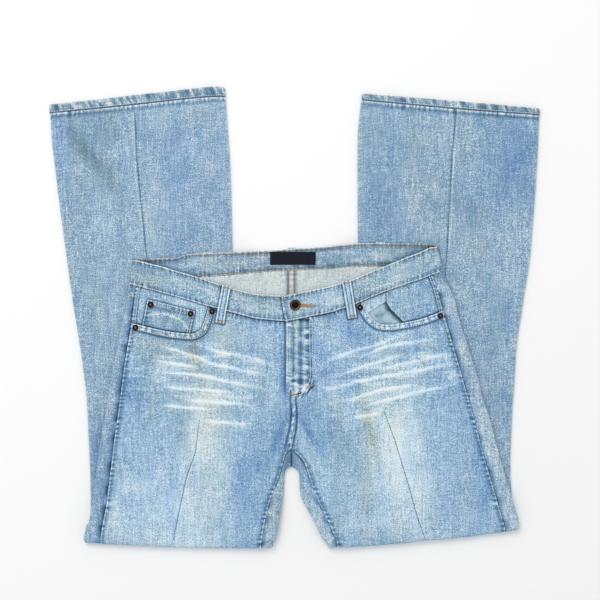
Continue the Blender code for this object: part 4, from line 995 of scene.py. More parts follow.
# The seam down the middle of each lower leg, as photo points, and the lighter and darker areas in the same
# columns as for the front panels
BACK_SEAMS = (
    ((135.4, 98), (135.4, 106.7), (136.3, 143.4), (139.8, 187.4), (143.4, 224), (147.8, 262)),
    ((456, 100), (456, 109.6), (452.7, 143.4), (449.8, 187.4), (448.3, 224), (444.6, 279)),
)
BACK_FADES = (
    ("right", -0.14, -0.9, 510, 165, 40, 60, 0),
    ("right", 0.02, 0.2, 435, 190, 40, 90, 0),
    ("right", -0.13, -0.2, 384, 195, 34, 110, 0),
    ("right", -0.05, 0, 400, 262, 80, 18, 0),
    ("left", 0.03, -0.5, 178, 175, 60, 90, 0),
    ("left", -0.28, 1.0, 90, 156, 16, 56, -0.8),
    ("left", -0.19, 0.4, 105, 125, 36, 26, -0.5),
    ("left", 0.08, -0.8, 60, 140, 12, 50, 0),
    ("left", -0.16, 0, 99, 445, 9, 44, 0),
    ("left", -0.05, 0, 190, 250, 80, 20, 0),
    ("left", -0.05, 0.4, 185, 115, 36, 16, 0),
)


def marked(grid, bend_row):
    """A grid with a fourth number a point: 0 before the fold at mid-thigh and 1 after it."""
    after = np.clip((np.arange(len(grid)) - bend_row) / (len(BEND_TURNS) - 1), 0, 1)
    return np.concatenate([grid, np.broadcast_to(after[:, None, None], (*grid.shape[:2], 1))], axis=2)


def outer_end(edge_x, seam_x, side, edge_round):
    """x and share of a back panel's columns: from the outseam over the side edge to the underside."""
    start = edge_x - side * edge_round
    seam_x = seam_x + side * HALF_GAP
    x = np.concatenate([[seam_x, (seam_x + start) / 2], edge_x - side * edge_round * (1 - np.cos(ROUND))])
    share = np.concatenate([[1, 1], (1 + np.sin(ROUND)) / 2])
    return x, share


def back_rows(leg):
    """Each row of a back panel's seat and thigh, as x, y and share."""
    name = leg.name
    top = SCOOP[name][0][1]
    for share, centre_y in zip(HIP_ROWS["share"], HIP_ROWS["centre_y"]):
        outer_y = YOKE_SIDE[name] - HALF_GAP if share < -0.05 else mix(top, leg.fold_start[0], share)
        if centre_y == YOKE_CENTRE:
            centre_y = YOKE_CENTRE - HALF_GAP
        x, level = outer_end(read(THIGH[name], "outer", outer_y), leg.outseam(outer_y), leg.side, LEG_EDGE)
        concentrate = 1 - smooth((centre_y - SEAT_END - 4) / 90)
        end_x = CENTRE + leg.side * HALF_GAP
        slope = (outer_y - centre_y) / (x[-1] - end_x)
        total = abs(x[-1] - end_x)
        even = total * (END_COLUMNS - 1) / (UNDER_COLUMNS + END_COLUMNS)
        spread = mix(even, 17.0, concentrate) * mix(np.linspace(1, 0, END_COLUMNS), END_SPACING, concentrate)
        under = np.linspace(x[-1], end_x + leg.side * spread[0], UNDER_COLUMNS + 2)[1:-1]
        rest = np.concatenate([under, end_x + leg.side * spread])
        y = np.concatenate([np.full(len(x), outer_y), outer_y + slope * (rest - x[-1])])
        yield np.concatenate([x, rest]), y, np.concatenate([level, np.zeros(len(rest))])
    turns = CROTCH_ROWS
    for k, share in enumerate(turns["share"]):
        over = np.array([turns[f"k{i}"][k] for i in range(END_COLUMNS)])
        entry, cross = turns["entry"][k], turns["cross"][k]
        fanned = entry * np.linspace(1, 0, END_COLUMNS)
        gathered = np.array([entry, cross, cross, cross, cross, cross, cross / 2, 0])
        plan, level = leg.over_edge(mix(fanned, gathered, turns["gather"][k]), over)
        yield whole_row(leg, mix(top, leg.fold_start[0], share), plan, level)
    cross, entry = 6.2, 11.0
    for share in THIGH_ROWS:
        inner_y = mix(CROTCH, leg.fold_start[1], (share - CROTCH_ROW) / (1 - CROTCH_ROW))
        seam = np.array([float(leg.inseam(inner_y)) - leg.side * HALF_GAP, inner_y])
        if share == CROTCH_ROW:
            seam = np.array([CENTRE + leg.side * HALF_GAP, CROTCH - 0.6])
        near, away = leg.nearest_edge(seam)
        cross = max(near, cross + 1.8)
        entry = max(cross, entry + 1.0)
        over = np.array([-13, -1, -0.5, 0, 0.5, 1, (away - LEG_EDGE) / 2 + 1, away - LEG_EDGE + 1])
        plan, level = leg.over_edge(np.array([entry] + [cross] * 7), over)
        plan[-1] = seam
        plan[-2] = (plan[-3] + seam) / 2
        yield whole_row(leg, mix(top, leg.fold_start[0], share), plan, level)


def whole_row(leg, outer_y, plan, level):
    """A row of a back panel that ends in the given places and shares beside the crotch edge."""
    edge_x = read(THIGH[leg.name], "outer", outer_y)
    x, outer_level = outer_end(edge_x, leg.outseam(outer_y), leg.side, LEG_EDGE)
    t = np.linspace(0, 1, UNDER_COLUMNS + 2)[1:-1]
    under_x, under_y = mix(x[-1], plan[0, 0], t), mix(outer_y, plan[0, 1], t)
    x = np.concatenate([x, under_x, plan[:, 0]])
    y = np.concatenate([np.full(len(outer_level), outer_y), under_y, plan[:, 1]])
    return x, y, np.concatenate([outer_level, np.zeros(len(t)), level])


def lower_section(leg, share):
    """x and share of a back panel's columns across the lower leg."""
    edges, seams = leg.lower_edges(share)
    x, level = outer_end(edges[0], seams[0], leg.side, LOWER_EDGE)
    inner_x, inner_level = outer_end(edges[1], seams[1], -leg.side, LOWER_EDGE)
    entry = inner_x[-1] + leg.side * 12.0
    under = np.linspace(x[-1], entry, UNDER_COLUMNS + 2)[1:]
    inner_x, inner_level = inner_x[::-1], inner_level[::-1]
    x = np.concatenate([x, under, inner_x])
    return x, np.concatenate([level, np.zeros(len(under)), inner_level])


def back_grid(leg):
    """The outer face of a back panel: down the seat, round the crotch, round the fold and on to the hem."""
    sections = list(back_rows(leg))
    rows = [leg.seat(x, y, level) for x, y, level in sections[:-1]]
    fold_x, _, level = sections[-1]
    low_x, low_level = lower_section(leg, 0.0)
    for turn in BEND_TURNS:
        t = (90 - turn) / 180
        rows.append(leg.bend(mix(fold_x, low_x, t), turn, mix(level, low_level, t)))
    for share in LOWER_ROWS:
        x, level = lower_section(leg, share)
        rows.append(leg.lower(x, leg.lower_y(x, share), level))
    return np.array(rows)


def back_relief(leg, grid, after):
    """The folds, puckers and seam of a back panel, as heights, with its fading, painted shade included, and
    its tint.
    """
    _, up, near, far = reach(grid)
    x, y = grid[..., 0], grid[..., 1]
    top = facing_up(grid)
    lower = smooth((after - 0.5) / 0.4)
    # How far the place lies in from the outline of the lower leg, on either side
    outer_in = np.abs(leg.side * (x - read(LOWER[leg.name], "outer", y)))
    inner_in = np.abs(leg.side * (x - read(LOWER[leg.name], "inner", y)))
    seam = lines_near(BACK_SEAMS, x, y, 0.9) * top * lower
    by_seam = lines_near(BACK_SEAMS, x - 2.0 * leg.side, y, 1.4) * top * lower
    middle = lines_near(BACK_SEAMS, x, y, 5.0) * top * lower
    lumps = 0.5 * cloud(x + 0.3 * y, y * 0.7, 32, 41) + 0.2 * cloud(x, y, 13, 42)
    at_outer = pucker(outer_in, y, 9.0, 0.3, 6.0, 43) * lower
    at_inner = pucker(inner_in, y, 9.5, 0.32, 7.0, 44) * lower
    at_seam = pucker(9 * (1 - middle), y, 6.0, 0.3, 5.0, 46) * top * lower
    hem_height, hem_fade_and_shade = seam_edge(up, x, 45, (4.0,), 0.42)
    # Above the fold a worn below 0 paints shade on the strips along the front's edges
    side_height, side_fade_and_shade = seam_edge(near, y, 11, (0.8,), -0.36)
    inner_height, inner_fade_and_shade = seam_edge(far, y, 12, (0.8,), -0.30)
    puckers = at_outer + at_inner + at_seam
    height = 0.5 * lumps * top - 0.3 * seam + 0.3 * by_seam + puckers + hem_height * lower
    height = height + (side_height + inner_height) * (1 - lower)
    height = height + folds(LOWER_FOLDS, x, y) * top * lower + folds(TOP_FOLDS, x, y) * top * (1 - lower)
    wash = 0.39 + 0.06 * cloud(x, y, 80, 51) + 0.06 * cloud(x, y, 30, 52) + 0.05 * cloud(x, y * 0.25, 9, 53)
    wash = mix(wash - (0.08 if leg.side > 0 else 0.0) + side_fade_and_shade + inner_fade_and_shade, wash + hem_fade_and_shade, lower)
    tint = 0.25 * cloud(x * 1.5, y * 0.25, 30, 54)
    wash, tint = faded(BACK_FADES, leg, x, y, wash, tint, lower)
    wash = wash + 0.8 * puckers - 0.9 * seam + 0.36 * by_seam
    wash = wash + (0.24 if leg.side > 0 else 0.02) * (1 - lower) * top
    # The strips that show beside the outseam and the inseam, above the fold
    at_side = (1 - lower) * top * smooth((12 - near) / 8)
    at_inseam = (1 - lower) * top * smooth((12 - far) / 8)
    if leg.side > 0:
        tint = tint - 0.4 * at_side - 0.3 * at_inseam
    else:
        tint = tint - 0.7 * at_side + 0.3 * at_inseam
        wash = wash - 0.2 * at_side + 0.14 * at_inseam
    # Painted shade on the strips in the crotch, below where the seams cross
    wash = wash - 0.62 * blob(x, y, 290, 458, 18, 22, 0) * (1 - lower) * top
    wash = wash + 0.16 * bell(np.minimum(outer_in, inner_in), 2.2) * lower
    return height, wash, tint


back = {}
for leg in (left, right):
    coarse = back_grid(leg)
    bend_row = len(coarse) - len(LOWER_ROWS) - len(BEND_TURNS)
    gaps = np.array([9.0] * bend_row + [5.0] * (len(BEND_TURNS) - 1) + [2.4] * len(LOWER_ROWS))
    side_gaps = np.array([1.8] * 2 + [1.6] * 4 + [2.2] * 9 + [2.2] + [1.6] * 4 + [1.8] * 2)
    fine = fine_grid(marked(coarse, bend_row), side_gaps, gaps)
    fine, after = fine[..., :3], fine[..., 3]
    height, wash, tint = back_relief(leg, fine, after)
    fine = above_floor(raised(fine, height))
    back[leg.name] = fine
    cloth("back_" + leg.name, fine, DENIM, [denim_back, denim_inside], wash, (0.33, 1.02),
          tint=tint)

# The yoke: two shaped pieces of the same denim between the seat and the waistband, joined down the centre
# back. Its pale weft side is what shows inside the waist.


def yoke_grid(leg):
    """Half the yoke: from the yoke seam up to the waistband, and from the centre round to the side seam."""
    x, y, level = next(back_rows(leg))
    y = y + SEAM_GAP
    top_outer = BAND_SIDE[leg.name][1][0]
    top_x, _ = outer_end(top_outer, leg.outseam(leg.side_top), leg.side, LEG_EDGE)
    rest = mix(top_x[-1], x[-1], (x[len(top_x):] - x[len(top_x) - 1]) / (x[-1] - x[len(top_x) - 1]))
    top_x = np.concatenate([top_x, rest])
    front_y, back_y = leg.waist(top_x), band_low("back", top_x) - WAIST_GAP
    top_y = mix(back_y, front_y, level)
    rows = []
    for t in (0.0, 0.35, 0.7, 0.85, 1.0):
        row_x, row_y = mix(x, top_x, t), mix(y, top_y, t)
        row = leg.seat(row_x, row_y, level)
        row[:, 2] += BAND_STEP * smooth((t - 0.6) / 0.4) * (1 - level)
        rows.append(row)
    return np.array(rows)


for leg in (left, right):
    fine = fine_grid(yoke_grid(leg), 2.6, 2.6)
    x, y = fine[..., 0], fine[..., 1]
    down, up, _, far = reach(fine)
    height, wash = seam_edge(up, x, 61, (1.0,), 0.2)
    low_height, low_fade_and_shade = seam_edge(down, x, 60, (1.9, 6.5), 0.3)
    far_height, far_fade_and_shade = seam_edge(far, y, 62, (4.6,), 0.3)
    fine = above_floor(raised(fine, 0.8 * (height + low_height + far_height)))
    top = facing_up(fine)
    shade = 0.55 * bell(far, 6.0) * smooth((far - 2) / 2)
    inside = 0.52 + 0.10 * cloud(x, y, 40, 63) + 0.06 * cloud(x, y, 9, 64)
    inside = inside - 0.6 * height + 0.9 * far_fade_and_shade - 0.2 * shade
    # Painted shade in two dark lines beside the stitching of the centre back seam
    inside = inside - 0.7 * bell(far - 5.6, 1.1) - 0.4 * bell(far - 2.2, 1.0)
    wash = mix(inside, 0.36 + wash + low_fade_and_shade, top)
    cloth("yoke_" + leg.name, fine, DENIM, [denim_back, denim_inside], wash, (0.25, 0.045))
    stitch_along("gold", fine, "last", 3.8, 0.2, 1.0, inside=DENIM)
    stitch_along("pale", fine, "top", 1.9, 0.0, 0.09)
    stitch_along("pale", fine, "top", 6.5, 0.0, 0.09)

# The waistband: a shaped strip of denim, doubled over a strip of interfacing and stitched along both edges.
# Its buttonhole end laps over the button end at the centre front.


def band_grid():
    """The waistband from the button end, over the left front and round the back to the other end."""
    top, low, share = [], [], []
    quarter = np.radians([60, 30, 0, -30, -60])

    def lay(chart, at):
        for row in zip(*chart.values()):
            top.append(row[:2])
            low.append(row[2:])
            share.append(at)

    def side_fold(name, side, turns):
        edge_top, edge_low = BAND_SIDE[name]
        before_top = top[-1]
        after = BAND["back"] if side < 0 else BAND["front_right"]
        after_top = (after["top_x"][0], after["top_y"][0])
        for k, turn in enumerate(turns):
            t = (k + 1) / (len(turns) + 1)
            inset = BAND_EDGE * (1 - np.cos(turn))
            at = (1 + np.sin(turn)) / 2
            low_x = edge_low[0] - side * inset
            top.append((edge_top[0] - side * inset, mix(before_top[1], after_top[1], t)))
            low.append((low_x, mix(band_low("back", low_x), band_low("front_" + name, low_x), at)))
            share.append(at)

    lay(BAND["front_left"], 1.0)
    side_fold("left", -1, np.concatenate([[np.pi / 2], quarter, [-np.pi / 2]]))
    lay(BAND["back"], 0.0)
    side_fold("right", 1, np.concatenate([[-np.pi / 2], quarter[::-1], [np.pi / 2]]))
    lay(BAND["front_right"], 1.0)
    top, low, share = np.array(top, float), np.array(low, float), np.array(share)
    last = len(share) - len(BAND["front_right"]["top_x"])
    rows = []
    for t in (0.0, 0.5, 1.0):
        x, y = mix(top, low, t).T
        z = mix(band_under(x, y), band_top(x, y), share)
        z[last:] += overlap_lift(x[last:])
        rows.append(np.stack([x, y, z], axis=-1))
    return np.array(rows)


band = fine_grid(band_grid(), 2.2, 1.7)
down, up, near, far = reach(band)
x, y = band[..., 0], band[..., 1]
run = near.mean(axis=0)[None, :] + near * 0
height, top_fade_and_shade = seam_edge(down, run, 71, (2.2,), 0.42)
low_height, low_fade_and_shade = seam_edge(up, run, 76, (2.2,), 0.44)
end_height, end_fade_and_shade = seam_edge(far, y, 77, (2.0,), 0.34)
creases = np.clip(cloud(run * 0.5 + down, down * 1.6, 6, 78), 0, 1)
beside_band = pucker(up, run, 5.2, 0.5, 9.0, 171) + pucker(down, run, 7.4, 0.3, 8.0, 172)
height = height + low_height + end_height + 0.45 * cloud(run, down, 22, 73) + 0.35 * creases + beside_band
band = raised(band, height)
wash = 0.44 + 0.08 * cloud(run, down, 50, 74) + 0.10 * cloud(run, down, 14, 75) + 0.24 * creases
wash = wash + 0.9 * beside_band + top_fade_and_shade + low_fade_and_shade + end_fade_and_shade
over_front = outward(band)[0][..., 2] > 0.3
# Painted shadow of the belt loops on the waistband beside them
wash = wash - 0.9 * loop_shadows(x, y) * over_front
# Painted shade: the back's inner face is darkened under the front's edge, and the left front under the
# buttonhole end
front_edge = band[0][over_front[0]][:, :2]
for edge in (front_edge[front_edge[:, 0] < -12], front_edge[front_edge[:, 0] > -12]):
    under_front, _ = beside(edge[np.argsort(edge[:, 0])][::4], x, y)
    wash = wash - 0.6 * bell(under_front, 5.0) * (1 - over_front)
lap_end, _ = beside(band[:, -1, :2], x, y)
wash = wash - 1.1 * bell(lap_end, 2.2) * over_front * (near < far)
slanted = cloud((run + 1.2 * up) * 0.6, (up - 0.6 * run) * 0.3, 3.0, 173)
wash = wash + (1 - over_front) * (0.35 * slanted * bell(up - 6, 7) - 0.08)
wash = wash + 0.12 * blob(x, y, 400, 290, 50, 16, 0) * over_front
tint = 0.45 + 0.5 * cloud(run, down, 45, 79) + 0.5 * blob(x, y, 180, 277, 50, 16, 0) * over_front
denim_band_inside = washed_denim("washed denim, inside of the waistband", BACK_STOPS, grain=1.4)
cloth("waistband", band, BAND_WALL, [denim_front, denim_band_inside], wash, (0.9, 0.036),
      tint=tint)
facing = outward(band)[0][0, :, 2]
on_top = np.flatnonzero(facing > 0.3) / (len(facing) - 1)
under = np.flatnonzero(facing < -0.9) / (len(facing) - 1)
for edge in ("top", "low"):
    for part in (on_top[on_top < under[0]], on_top[on_top > under[-1]]):
        stitch_along("pale", band, edge, 1.1, part[0], part[-1])
    stitch_along("gold", band, edge, 1.8, under[0], under[-1], inside=BAND_WALL)
stitch_along("pale", band, "last", 2.0)

# Inside the pocket mouths: a denim facing sewn into each side seam and, on the left in the picture, the
# coin pocket stitched on it. On the right, the pocket's cotton bag shows as a dark wedge where the mouth
# gapes.
FACING_ROWS = (0.0, 0.15, 0.4, 0.7, 1.0)
FACING = {
    "left": {"edge": (-104.0, -104.0), "low_y": (-36.0, -46.0), "under": DENIM + COIN_WALL + 2 * SEAM_GAP,
             "rows": FACING_ROWS, "from_seam": True},
    "right": {"edge": (128.0, 166.0), "low_y": (-18.0, -30.0), "under": DENIM + SEAM_GAP,
              "rows": FACING_ROWS, "from_seam": True},
}
POCKET_BAG = {"outer": 172.0, "edge": (84.0, 84.0), "low_y": (-22.0, -24.0), "under": 2 * (DENIM + SEAM_GAP),
              "rows": (0.0, 0.3, 0.6, 1.0), "from_seam": False}
COIN_CORNERS = ((-204.3, 24.8), (-138.6, 8.0), (-148.5, -36.0), (-215.0, -24.0))
# y and x down the free edge of the right facing, which falls from the waist and then curves out to the side
FACING_END = ((40, 128.0), (30, 127.8), (21, 127.6), (12, 132.5), (4, 140.0), (-8, 153.0), (-30, 172.0))


def facing_grid(leg, chart):
    """A piece inside the pocket mouth, from the side seam and waistband to where it is covered."""
    rows = []
    columns = np.linspace(0, 1, 9)
    if chart["from_seam"]:
        columns = np.concatenate([[0, 0.06], np.linspace(0.14, 1, 8)])
    for t in chart["rows"]:
        outer_y = mix(leg.side_top, chart["low_y"][0], t)
        outer_x = float(leg.outseam(outer_y)) - leg.side * HALF_GAP if chart["from_seam"] else chart["outer"]
        x = mix(outer_x, mix(*chart["edge"], t), columns)
        y = mix(leg.waist(x), mix(*chart["low_y"], columns), t)
        under = np.full(len(x), chart["under"])
        if chart["from_seam"]:
            rise = smooth(t / 0.15) * np.ones(len(x))
            covered = smooth((leg.side * (SCOOP[leg.name][-1][0] - x) + 14) / 10)
            low = mix(0.9, DENIM + SEAM_GAP, covered)
            under = mix(low, chart["under"], rise)
            under[0] = mix(min(low[0], under[0]), DENIM + SEAM_GAP, rise[0])
        row = leg.seat(x, y, 1.0)
        row[:, 2] -= under
        rows.append(row)
    return np.array(rows)


def patch_grid(leg, corners, under, rows, columns):
    """A four-cornered piece: top left, top right, low right, low left."""
    top_left, top_right, low_right, low_left = (np.array(corner, float) for corner in corners)
    grid = []
    for t in np.linspace(0, 1, rows):
        at = np.linspace(0, 1, columns)[:, None]
        plan = mix(mix(top_left, low_left, t), mix(top_right, low_right, t), at)
        row = leg.seat(plan[:, 0], plan[:, 1], 1.0)
        row[:, 2] -= under
        grid.append(row)
    return np.array(grid)


BAG_THREAD = 1.2 * MM


def bag_cotton():
    """Plain-woven cotton, worn grey: threads 0.4 mm apart, drawn 1.2 mm apart."""
    made, tree, place = new_material("plain-woven pocket cotton")
    warp, weft = (
        add(tree, "ShaderNodeTexWave",
            {"bands_direction": axis, "Scale": WAVE / BAG_THREAD, "Distortion": 1.0},
            {"Vector": place}, out="Fac")
        for axis in "XY"
    )
    weave = add(tree, "ShaderNodeMath", {"operation": "MULTIPLY"}, {0: warp, 1: weft})
    blotch = add(tree, "ShaderNodeTexNoise", {"Scale": 0.25 / MM, "Detail": 4.0}, {"Vector": place})
    # The fading attribute also darkens the bag with painted shade along the facing's edge
    wear_and_shade = add(tree, "ShaderNodeAttribute", {"attribute_name": "wash"}, {}, out="Fac")
    total = add(tree, "ShaderNodeMath", {"operation": "MULTIPLY_ADD", 1: 0.25}, {0: weave, 2: wear_and_shade})
    total = add(tree, "ShaderNodeMath", {"operation": "MULTIPLY_ADD", 1: 0.7}, {0: blotch, 2: total})
    colour = add(tree, "ShaderNodeValToRGB", {}, {"Fac": total},
                 ((0.3, "#2e3f4c"), (0.65, "#5f7f94"), (0.95, "#8dabbd"), (1.0, "#a8c0ce")))
    bump = add(tree, "ShaderNodeBump", {"Strength": 0.4, "Distance": 0.2 * MM}, {"Height": weave})
    add(tree, "Principled BSDF", {"Roughness": 0.95}, {"Base Color": colour, "Normal": bump})
    return made


pocket_cotton = bag_cotton()
CUTS = {"left": (0.13, 0.07), "right": (0.085, 0.065)}
for leg in (left, right):
    fine = fine_grid(facing_grid(leg, FACING[leg.name]), 1.6, 1.6)
    x, y = fine[..., 0], fine[..., 1]
    down, _, near, far = reach(fine)
    if leg.side > 0:
        levels, ends = np.array(FACING_END[::-1], float).T
        fine[..., 0] += (np.interp(y[:, -1], levels, ends) - x[:, -1])[:, None] * smooth((near - 20) / 50)
        x = fine[..., 0]
    by_mouth, _ = beside(mouth_line(leg, 50), x, y)
    by_coin, _ = beside(np.array([*COIN_CORNERS, COIN_CORNERS[0]], float), x, y)
    side_height, side_fade_and_shade = seam_edge(near, y, 11, (2.0,), 0.34)
    waist_height = seam_edge(down, x, 81, (1.0,), 0.1)[0]
    fine = raised(fine, side_height + 0.4 * waist_height + 0.3 * cloud(x, y, 18, 82))
    wash = 0.10 * cloud(x, y, 30, 83) + 0.10 * cloud(x, y, 8, 80) + side_fade_and_shade
    # Painted shade along the pocket mouth, under the waistband and past the outer row of stitching at the side
    # seam, and on the left round the coin pocket
    wash = wash - 1.3 * bell(by_mouth, 1.9) - 0.8 * bell(down, 1.5)
    wash = wash - 0.7 * bell(near - 6.6, 0.9)
    if leg.side < 0:
        wash = wash + 0.59 - 1.0 * bell(by_coin, 1.7) - 0.14 * bell(by_coin, 6.0)
    else:
        wash = wash + 0.37 + 0.15 * bell(far, 1.6)
    cloth("pocket_facing_" + leg.name, fine, DENIM, [denim_front, denim_inside], wash,
          CUTS[leg.name])
    stitch_along("pale", fine, "first", 2.0)
    stitch_along("pale", fine, "first", 5.0)
bag = fine_grid(facing_grid(right, POCKET_BAG), 2.0, 2.0)
x, y = bag[..., 0], bag[..., 1]
near_edge, _ = beside(np.array([(end, level) for level, end in FACING_END], float), x, y)
rumpled = cloud(x + y, y - 0.4 * x, 9, 85)
bag = raised(bag, 0.35 * rumpled)
# Painted shade on the bag along the facing's edge
shade = 0.75 * bell(near_edge, 4.2)
cloth("pocket_bag_right", bag, COIN_WALL, [pocket_cotton], 0.56 + 0.22 * rumpled - shade,
      (0.085, 0.06))
# The facing's turned end covers the bag's top
corners = np.array([(94.5, 21.6), (127.2, 34.0), (127.0, 21.5), (99.5, 4.0)])
flap = patch_grid(right, corners, DENIM + SEAM_GAP, 12, 18)
x, y = flap[..., 0], flap[..., 1]
flap[..., 1] = np.minimum(y, right.waist(x) - 0.2)
down, up, _, _ = reach(flap)
flap_wash = 0.62 + 0.1 * cloud(x, y, 9, 86) - 0.2 * bell(down, 3) + 0.12 * bell(up, 2)
cloth("pocket_facing_right", flap, DENIM, [denim_front, denim_inside], flap_wash,
      (0.035, 0.02), name="pocket_facing_right_end")
coin = fine_grid(patch_grid(left, COIN_CORNERS, DENIM + SEAM_GAP, 5, 6), 1.3, 1.3)
down, _, near, far = reach(coin)
x, y = coin[..., 0], coin[..., 1]
top_height, top_fade_and_shade = seam_edge(down, x, 85, (1.5, 6.4), 0.5)
near_height, near_fade_and_shade = seam_edge(near, y, 90, (1.5,), 0.5)
far_height, far_fade_and_shade = seam_edge(far, y, 95, (1.5,), 0.5)
fold_away, _ = beside(np.array([(-205, 2), (-192, 5), (-176, 4), (-160, -3), (-150, -14)]), x, y)
crease = bell(fold_away, 2.2)
height = 0.8 * (top_height + near_height + far_height) + 0.3 * cloud(x, y, 14, 88) + 0.4 * crease
coin = raised(coin, height)
by_mouth, _ = beside(mouth_line(left, 50), x, y)
wash = 0.34 + 0.12 * cloud(x, y, 16, 89) + 0.12 * cloud(x, y, 6, 84) + 0.4 * crease
# Painted shade under the pocket mouth and towards the pocket's sides below its stitched top
wash = wash + top_fade_and_shade + near_fade_and_shade + far_fade_and_shade - 1.3 * bell(by_mouth, 1.9)
wash = wash + 0.7 * cloud(x, y, 2.6, 87) * bell(down - 4, 2.2)
wash = wash - (0.2 * bell(near, 9) + 0.12 * bell(far, 7)) * smooth((down - 9) / 4)
cloth("coin_pocket", coin, COIN_WALL, [denim_front, denim_inside], wash, (0.07, 0.05),
      tint=0.5)
for edge, away in (("top", 1.4), ("top", 6.2), ("first", 1.4), ("last", 1.4), ("last", 4.2)):
    stitch_along("pale", coin, edge, away)

# The fly zip: a plain cotton tape, closed, under the right front and held by the fly's curved seam. The
# lapped front hides it, so it has no teeth and no slider.
ZIP_CORNERS = ((-4.1, -8.5), (20.0, -8.5), (20.0, -100.0), (-4.1, -100.0))
tape = fine_grid(patch_grid(right, ZIP_CORNERS, 0.0, 8, 3), 4.0, 4.0)
cloth("fly_zip", tape, DENIM, [pocket_cotton], 0.5, (0.024, 0.092))

# The belt loops: strips of denim turned in at both sides and bartacked at both ends. Two lie over the front
# of the waistband and three over its back, which is underneath.
LOOP_WIDTH = 12.0
LOOP_ROWS = (0.0, 0.12, 0.36, 0.58, 0.68, 0.76, 0.88, 1.0)
BACK_LOOPS = {
    "belt_loop_back_left": ((-120.0, 91.0), (-121.0, 38.0)),
    "belt_loop_back_centre": ((CENTRE, 97.0), (CENTRE, 43.0)),
    "belt_loop_back_right": ((120.0, 105.0), (121.0, 51.0)),
}


class Ground:
    """The outer faces that a small piece lies on."""

    def __init__(self, *grids):
        self.trees = []
        for grid in grids:
            rows, columns = grid.shape[:2]
            faces = [
                (i * columns + j, i * columns + j + 1, (i + 1) * columns + j + 1, (i + 1) * columns + j)
                for i in range(rows - 1)
                for j in range(columns - 1)
            ]
            self.trees.append(BVHTree.FromPolygons([tuple(p) for p in grid.reshape(-1, 3)], faces))

    def height(self, x, y, reach=0.0):
        """The highest face under a place, and under the places within reach of it."""
        found = []
        for dx, dy in ((0, 0), (reach, 0), (-reach, 0), (0, reach), (0, -reach)):
            for tree in self.trees:
                hit = tree.ray_cast(Vector((x + dx, y + dy, 100)), Vector((0, 0, -1)))[0]
                if hit is not None:
                    found.append(hit.z)
        return max(found)


def loop_grid(ground, ends):
    """A belt loop on the front: a narrow strip over the waistband, which ends on the panel below."""
    top, low = (np.array(end, float) for end in ends)
    run = (low - top) / np.linalg.norm(low - top)
    sideways = np.array([-run[1], run[0]])
    grid = []
    for t in LOOP_ROWS:
        row = []
        for k in (-0.5, 0.0, 0.5):
            x, y = mix(top, low, t) + sideways * LOOP_WIDTH * k
            row.append((x, y, ground.height(x, y, 2.5) + SEAM_GAP + LOOP_WALL))
        row = np.array(row)
        row[:, 2] = row[:, 2].max()
        grid.append(row)
    return np.array(grid)


def under_loop_grid(ends):
    """A belt loop on the back, which the seat rests on."""
    top, low = (np.array(end, float) for end in ends)
    grid = []
    for t in np.linspace(0, 1, 6):
        middle = mix(top, low, t)
        x = middle[0] + np.array([-0.5, 0.0, 0.5]) * LOOP_WIDTH
        y = np.full(3, middle[1])
        grid.append(np.stack([x, y, support(x, y) + 0.1], axis=-1))
    return np.array(grid)


ground = Ground(band, front["left"], front["right"], coin)
loops = {}
for name, ends in {**FRONT_LOOPS, **BACK_LOOPS}.items():
    on_top = name in FRONT_LOOPS
    coarse = loop_grid(ground, ends) if on_top else under_loop_grid(ends)
    fine = fine_grid(coarse, 1.0, 1.6)
    down, _, near, far = reach(fine)
    # A stitched channel runs 3.2 mm in from each side, with a ridge inside it
    middle = np.minimum(near, far) - 3.2
    height = 0.3 * bell(middle - 1.6, 1.4) - 0.25 * bell(middle, 0.8)
    height = height + 0.2 * cloud(near, down, 5, 91)
    if on_top:
        fine = raised(fine, height)
    # Painted shade in each stitched channel, with the turned sides worn lighter
    wash = 0.60 - 1.0 * bell(middle, 0.7) + 0.5 * bell(np.minimum(near, far), 1.4)
    cloth(name, fine, LOOP_WALL, [denim_front, denim_inside], wash, (0.013, 0.055),
          faces_up=on_top)
    loops[name] = fine

# The label: a tape of woven polyester, near black and left plain. It is sewn down flat on the inside of the
# back waistband, where it shows in the open waist.
LABEL_SPAN = {"x": (-34.0, 29.5), "y": (91.0, 73.0)}
LABEL_RIB = 1.4 * MM


def label_grid():
    """The label, on the inside of the back waistband."""
    x = np.linspace(*LABEL_SPAN["x"], 6)
    rows = []
    for y in np.linspace(*LABEL_SPAN["y"], 3):
        z = band_under(x, y) + BAND_WALL + SEAM_GAP + LABEL_WALL
        rows.append(np.stack([x, np.full(len(x), y), z], axis=-1))
    return np.array(rows)


def label_weave():
    """Polyester satin, near black: ribs 0.5 mm apart, drawn 1.4 mm apart."""
    made, tree, place = new_material("woven polyester label")
    ribs = add(tree, "ShaderNodeTexWave",
               {"bands_direction": "X", "Scale": WAVE / LABEL_RIB, "Distortion": 0.6},
               {"Vector": place}, out="Fac")
    speck = add(tree, "ShaderNodeTexNoise", {"Scale": 0.9 / MM, "Detail": 2.0}, {"Vector": place})
    total = add(tree, "ShaderNodeMath", {"operation": "MULTIPLY_ADD", 1: 0.4}, {0: ribs, 2: speck})
    colour = add(tree, "ShaderNodeValToRGB", {}, {"Fac": total}, ((0.2, "#0d0f16"), (0.9, "#22252f")))
    bump = add(tree, "ShaderNodeBump", {"Strength": 0.4, "Distance": 0.2 * MM}, {"Height": total})
    add(tree, "Principled BSDF", {"Roughness": 0.8, "Specular IOR Level": 0.08},
        {"Base Color": colour, "Normal": bump})
    return made


label = fine_grid(label_grid(), 2.0, 2.0)
label = raised(label, 0.12 * cloud(label[..., 0], label[..., 1], 9, 95))
cloth("label", label, LABEL_WALL, [label_weave()], 0.5, (0.0635, 0.018))

